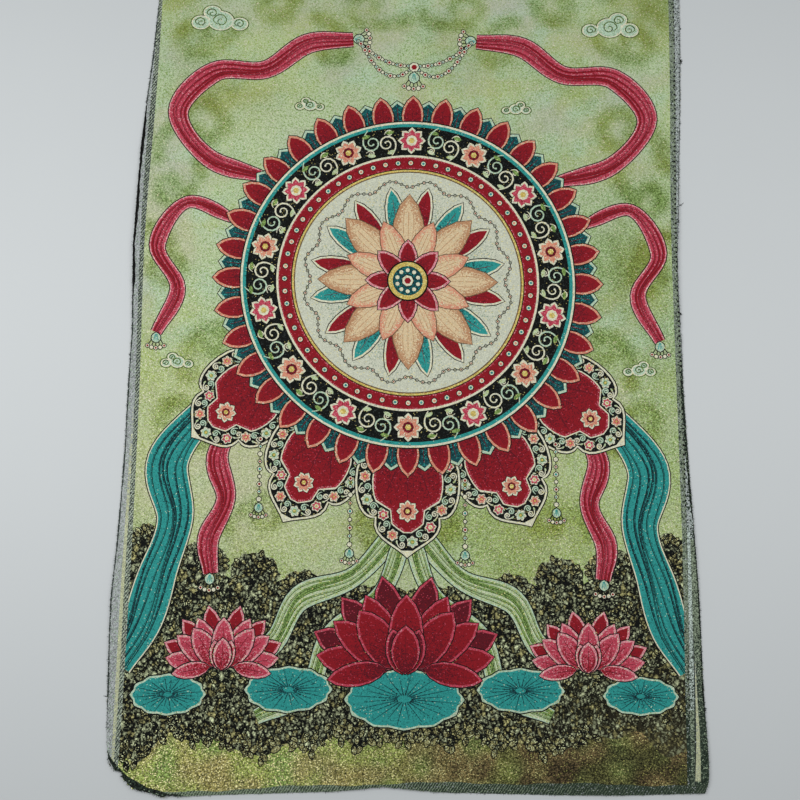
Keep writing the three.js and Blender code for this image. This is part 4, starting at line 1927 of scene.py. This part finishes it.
class YarnEnds:
    """Raw yarn ends that stand out of the cut edge."""

    def __init__(self, scene, cloth, outline):
        self.sizes = scene.thangka_ends
        self.rng = np.random.default_rng(self.sizes.seed)
        self.cloth = cloth
        self.outline = outline
        ahead = np.roll(outline, -1, axis=0) - outline
        self.lengths = np.linalg.norm(ahead, axis=1)
        self.reached = np.concatenate([[0], np.cumsum(self.lengths)])
        self.yarn = yarn_table(scene)
        self.places, self.faces, self.colours = [], [], []
        self.total = 0

    def edge_at(self, distance):
        """The place on the cut edge at a distance round it, and the way out of the cloth."""
        k = int(np.searchsorted(self.reached, distance, side="right")) - 1
        k = min(k, len(self.outline) - 1)
        a, b = self.outline[k], self.outline[(k + 1) % len(self.outline)]
        wide = self.outline[(k + 3) % len(self.outline)] - self.outline[(k - 2) % len(self.outline)]
        wide = wide / np.linalg.norm(wide)
        where = a + (b - a) * (distance - self.reached[k]) / self.lengths[k]
        return where, np.array([wide[1], -wide[0]])

    def add(self, where, out, reach, colour, lean=0.0, thickness=1.0):
        """One yarn from just inside the edge, drooping to the floor."""
        angle = lean + self.rng.normal(0, END_TURN)
        c, s = math.cos(angle), math.sin(angle)
        way = np.array([out[0] * c - out[1] * s, out[0] * s + out[1] * c])
        bend = np.array([-way[1], way[0]]) * self.rng.normal(0, END_BEND)
        t = np.linspace(0, 1, 5 if reach > 1.6 else 4)[:, None]
        flat = where - out * END_ROOT + way * t * (reach + END_ROOT) + bend * t**2 * reach
        top = self.cloth.height(where[None])[0]
        start = top - self.rng.uniform(END_SHALLOWEST, END_DEEPEST)
        end = max(0.2, start - reach * self.rng.uniform(0.1, 0.9))
        z = start + (end - start) * t[:, 0] ** 1.5
        x, y = to_frame(flat)
        radius = self.sizes.radius * self.rng.uniform(0.8, 1.25) * thickness
        corners, faces = yarn_tube(np.stack([x, y, z * MM], 1), radius)
        self.faces += [tuple(self.total + i for i in face) for face in faces]
        self.places.append(corners)
        self.total += len(corners)
        self.colours += [colour] * sum(len(face) for face in faces)

    def yarn_for(self, where):
        """A likely yarn colour for the edge at a place."""
        shares = FOOT_SHARES if where[1] < FOOT_TOP else SIDE_SHARES
        return self.yarn[self.rng.choice(EDGE_YARNS, p=shares)] * self.rng.uniform(0.75, 1.2)

    def side_place(self, side, up):
        """The distance round the edge of a height on one side."""
        score = np.abs(self.outline[:, 1] - up) + 1000 * (self.outline[:, 0] * side < 0)
        return self.reached[int(np.argmin(score))]

    def usual_ends(self):
        """Short ends all round the cloth."""
        distance = 0.0
        while distance < self.reached[-1]:
            where, out = self.edge_at(distance)
            torn = where[0] < TORN_ACROSS and where[1] < TORN_UP
            reach = self.sizes.reach / MM * self.rng.lognormal(0.0, 0.45) * (1.5 if torn else 1.0)
            self.add(where, out, min(reach, LONGEST_END), self.yarn_for(where))
            step = self.sizes.spacing / MM * (0.55 if torn else 1.0)
            distance += step * self.rng.uniform(0.6, 1.4)

    def strays(self):
        """The long strays and tufts of black yarn."""
        for side, up, yarns, reach, lean in STRAYS:
            centre = self.side_place(side, up)
            for _ in range(yarns):
                where, out = self.edge_at((centre + self.rng.normal(0, 0.6)) % self.reached[-1])
                colour = self.yarn["black"] * self.rng.uniform(0.8, 1.6)
                self.add(where, out, reach * self.rng.uniform(0.6, 1.1), colour, lean, TUFT_THICKNESS)

    def make(self):
        """The mesh of all the ends."""
        self.usual_ends()
        self.strays()
        mesh = bpy.data.meshes.new("cut_yarn_ends")
        mesh.from_pydata(np.vstack(self.places).tolist(), [], self.faces)
        add_values(mesh, "main_yarn", np.array(self.colours))
        mesh.shade_smooth()
        mesh.update()
        return mesh


# ---------------- operators
ROOM_COLOUR = (0.95, 0.98, 1.0, 1.0)
LAMP_SIZE = 0.7
LAMP_PLACE = (0.7, 0.1, 0.95)
LAMP_AIM = 0.1
CAMERA_AIM = (-0.01175, -0.039, 0.0)
SENSOR_WIDTH = 36.0


class THANGKA_OT_panel(bpy.types.Operator):
    """Make the woven cloth with the raw yarn ends along its cut edges"""

    bl_idname = "thangka.panel"
    bl_label = "Woven Panel"

    def execute(self, context):
        scene = context.scene
        mesh, cloth, outline = panel_mesh(scene)
        panel = new_object(mesh, "brocade_panel")
        mesh.materials.append(brocade_look(scene.thangka_cloth))
        mesh.materials.append(reverse_look(scene.thangka_cloth))
        ends_mesh = YarnEnds(scene, cloth, outline).make()
        ends_mesh.materials.append(yarn_end_look())
        ends = new_object(ends_mesh, "cut_yarn_ends")
        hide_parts(PANEL_NODE)
        for piece in (panel, ends):
            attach(piece, "root")
        return {"FINISHED"}


class THANGKA_OT_stage(bpy.types.Operator):
    """Make the floor, the lights and the camera"""

    bl_idname = "thangka.stage"
    bl_label = "Stage"

    def execute(self, context):
        scene = context.scene
        stage = scene.thangka_stage
        self.floor(stage)
        self.lights(scene, stage)
        self.camera(scene, stage)
        scene.view_settings.view_transform = "Standard"
        return {"FINISHED"}

    def floor(self, stage):
        """A square floor that the cloth lies on."""
        half = stage.floor_side / 2
        corners = [(x * half, y * half, 0) for x, y in ((-1, -1), (1, -1), (1, 1), (-1, 1))]
        mesh = bpy.data.meshes.new("floor")
        mesh.from_pydata(corners, [], [(0, 1, 2, 3)])
        mesh.materials.append(floor_look(stage))
        new_object(mesh, "floor")

    def lights(self, scene, stage):
        """Light from all round, and a soft lamp over each side."""
        world = bpy.data.worlds.new("room")
        world.use_nodes = True
        background = world.node_tree.nodes["Background"].inputs
        background["Color"].default_value = ROOM_COLOUR
        background["Strength"].default_value = stage.sky
        scene.world = world
        lamps = (("left_light", stage.left_power, -1), ("right_light", stage.right_power, 1))
        for name, power, side in lamps:
            lamp = bpy.data.lights.new(name, "AREA")
            lamp.energy = power
            lamp.size = LAMP_SIZE
            made = bpy.data.objects.new(name, lamp)
            across, along, up = LAMP_PLACE
            made.location = (side * across, along, up)
            aim = Vector((side * LAMP_AIM, 0.0, 0.0)) - made.location
            made.rotation_euler = aim.to_track_quat("-Z", "Y").to_euler()
            scene.collection.objects.link(made)

    def camera(self, scene, stage):
        """A camera over the cloth, tilted back a little and turned about its view."""
        tilt, roll = stage.camera_tilt, stage.camera_roll
        forward = Vector((0.0, math.sin(tilt), -math.cos(tilt)))
        up = Vector((0.0, math.cos(tilt), math.sin(tilt)))
        right = Vector((1.0, 0.0, 0.0))
        x_axis = right * math.cos(roll) + up * math.sin(roll)
        y_axis = up * math.cos(roll) - right * math.sin(roll)
        place = Vector(CAMERA_AIM) - forward * stage.camera_distance
        turn = Matrix((x_axis, y_axis, -forward)).transposed().to_4x4()
        camera = bpy.data.cameras.new("camera")
        camera.lens = stage.lens
        camera.sensor_width = SENSOR_WIDTH
        made = bpy.data.objects.new("camera", camera)
        made.matrix_world = Matrix.Translation(place) @ turn
        scene.collection.objects.link(made)
        scene.camera = made


class THANGKA_PT_panel(bpy.types.Panel):
    """The textile tab's buttons and sizes"""

    bl_idname = "THANGKA_PT_panel"
    bl_label = "Woven Thangka Panel"
    bl_space_type = "VIEW_3D"
    bl_region_type = "UI"
    bl_category = "Textile"

    def draw(self, context):
        layout = self.layout
        for operator in OPERATORS:
            layout.operator(operator.bl_idname)
        for name in GROUPS:
            group = getattr(context.scene, name)
            box = layout.box()
            box.label(text=group.bl_rna.description)
            for key in group.__annotations__:
                box.prop(group, key)


GROUPS = {
    "thangka_cloth": ClothSizes,
    "thangka_motifs": MotifSizes,
    "thangka_ends": EndSizes,
    "thangka_stage": StageSizes,
    "thangka_yarns": YarnColours,
}
OPERATORS = (THANGKA_OT_panel, THANGKA_OT_stage)


def register():
    for name, group in GROUPS.items():
        bpy.utils.register_class(group)
        setattr(bpy.types.Scene, name, PointerProperty(type=group))
    for operator in OPERATORS:
        bpy.utils.register_class(operator)
    bpy.utils.register_class(THANGKA_PT_panel)


def unregister():
    bpy.utils.unregister_class(THANGKA_PT_panel)
    for operator in reversed(OPERATORS):
        bpy.utils.unregister_class(operator)
    for name, group in reversed(GROUPS.items()):
        delattr(bpy.types.Scene, name)
        bpy.utils.unregister_class(group)


def main():
    register()
    bpy.ops.thangka.panel()
    bpy.ops.thangka.stage()


if __name__ == "__main__":
    main()
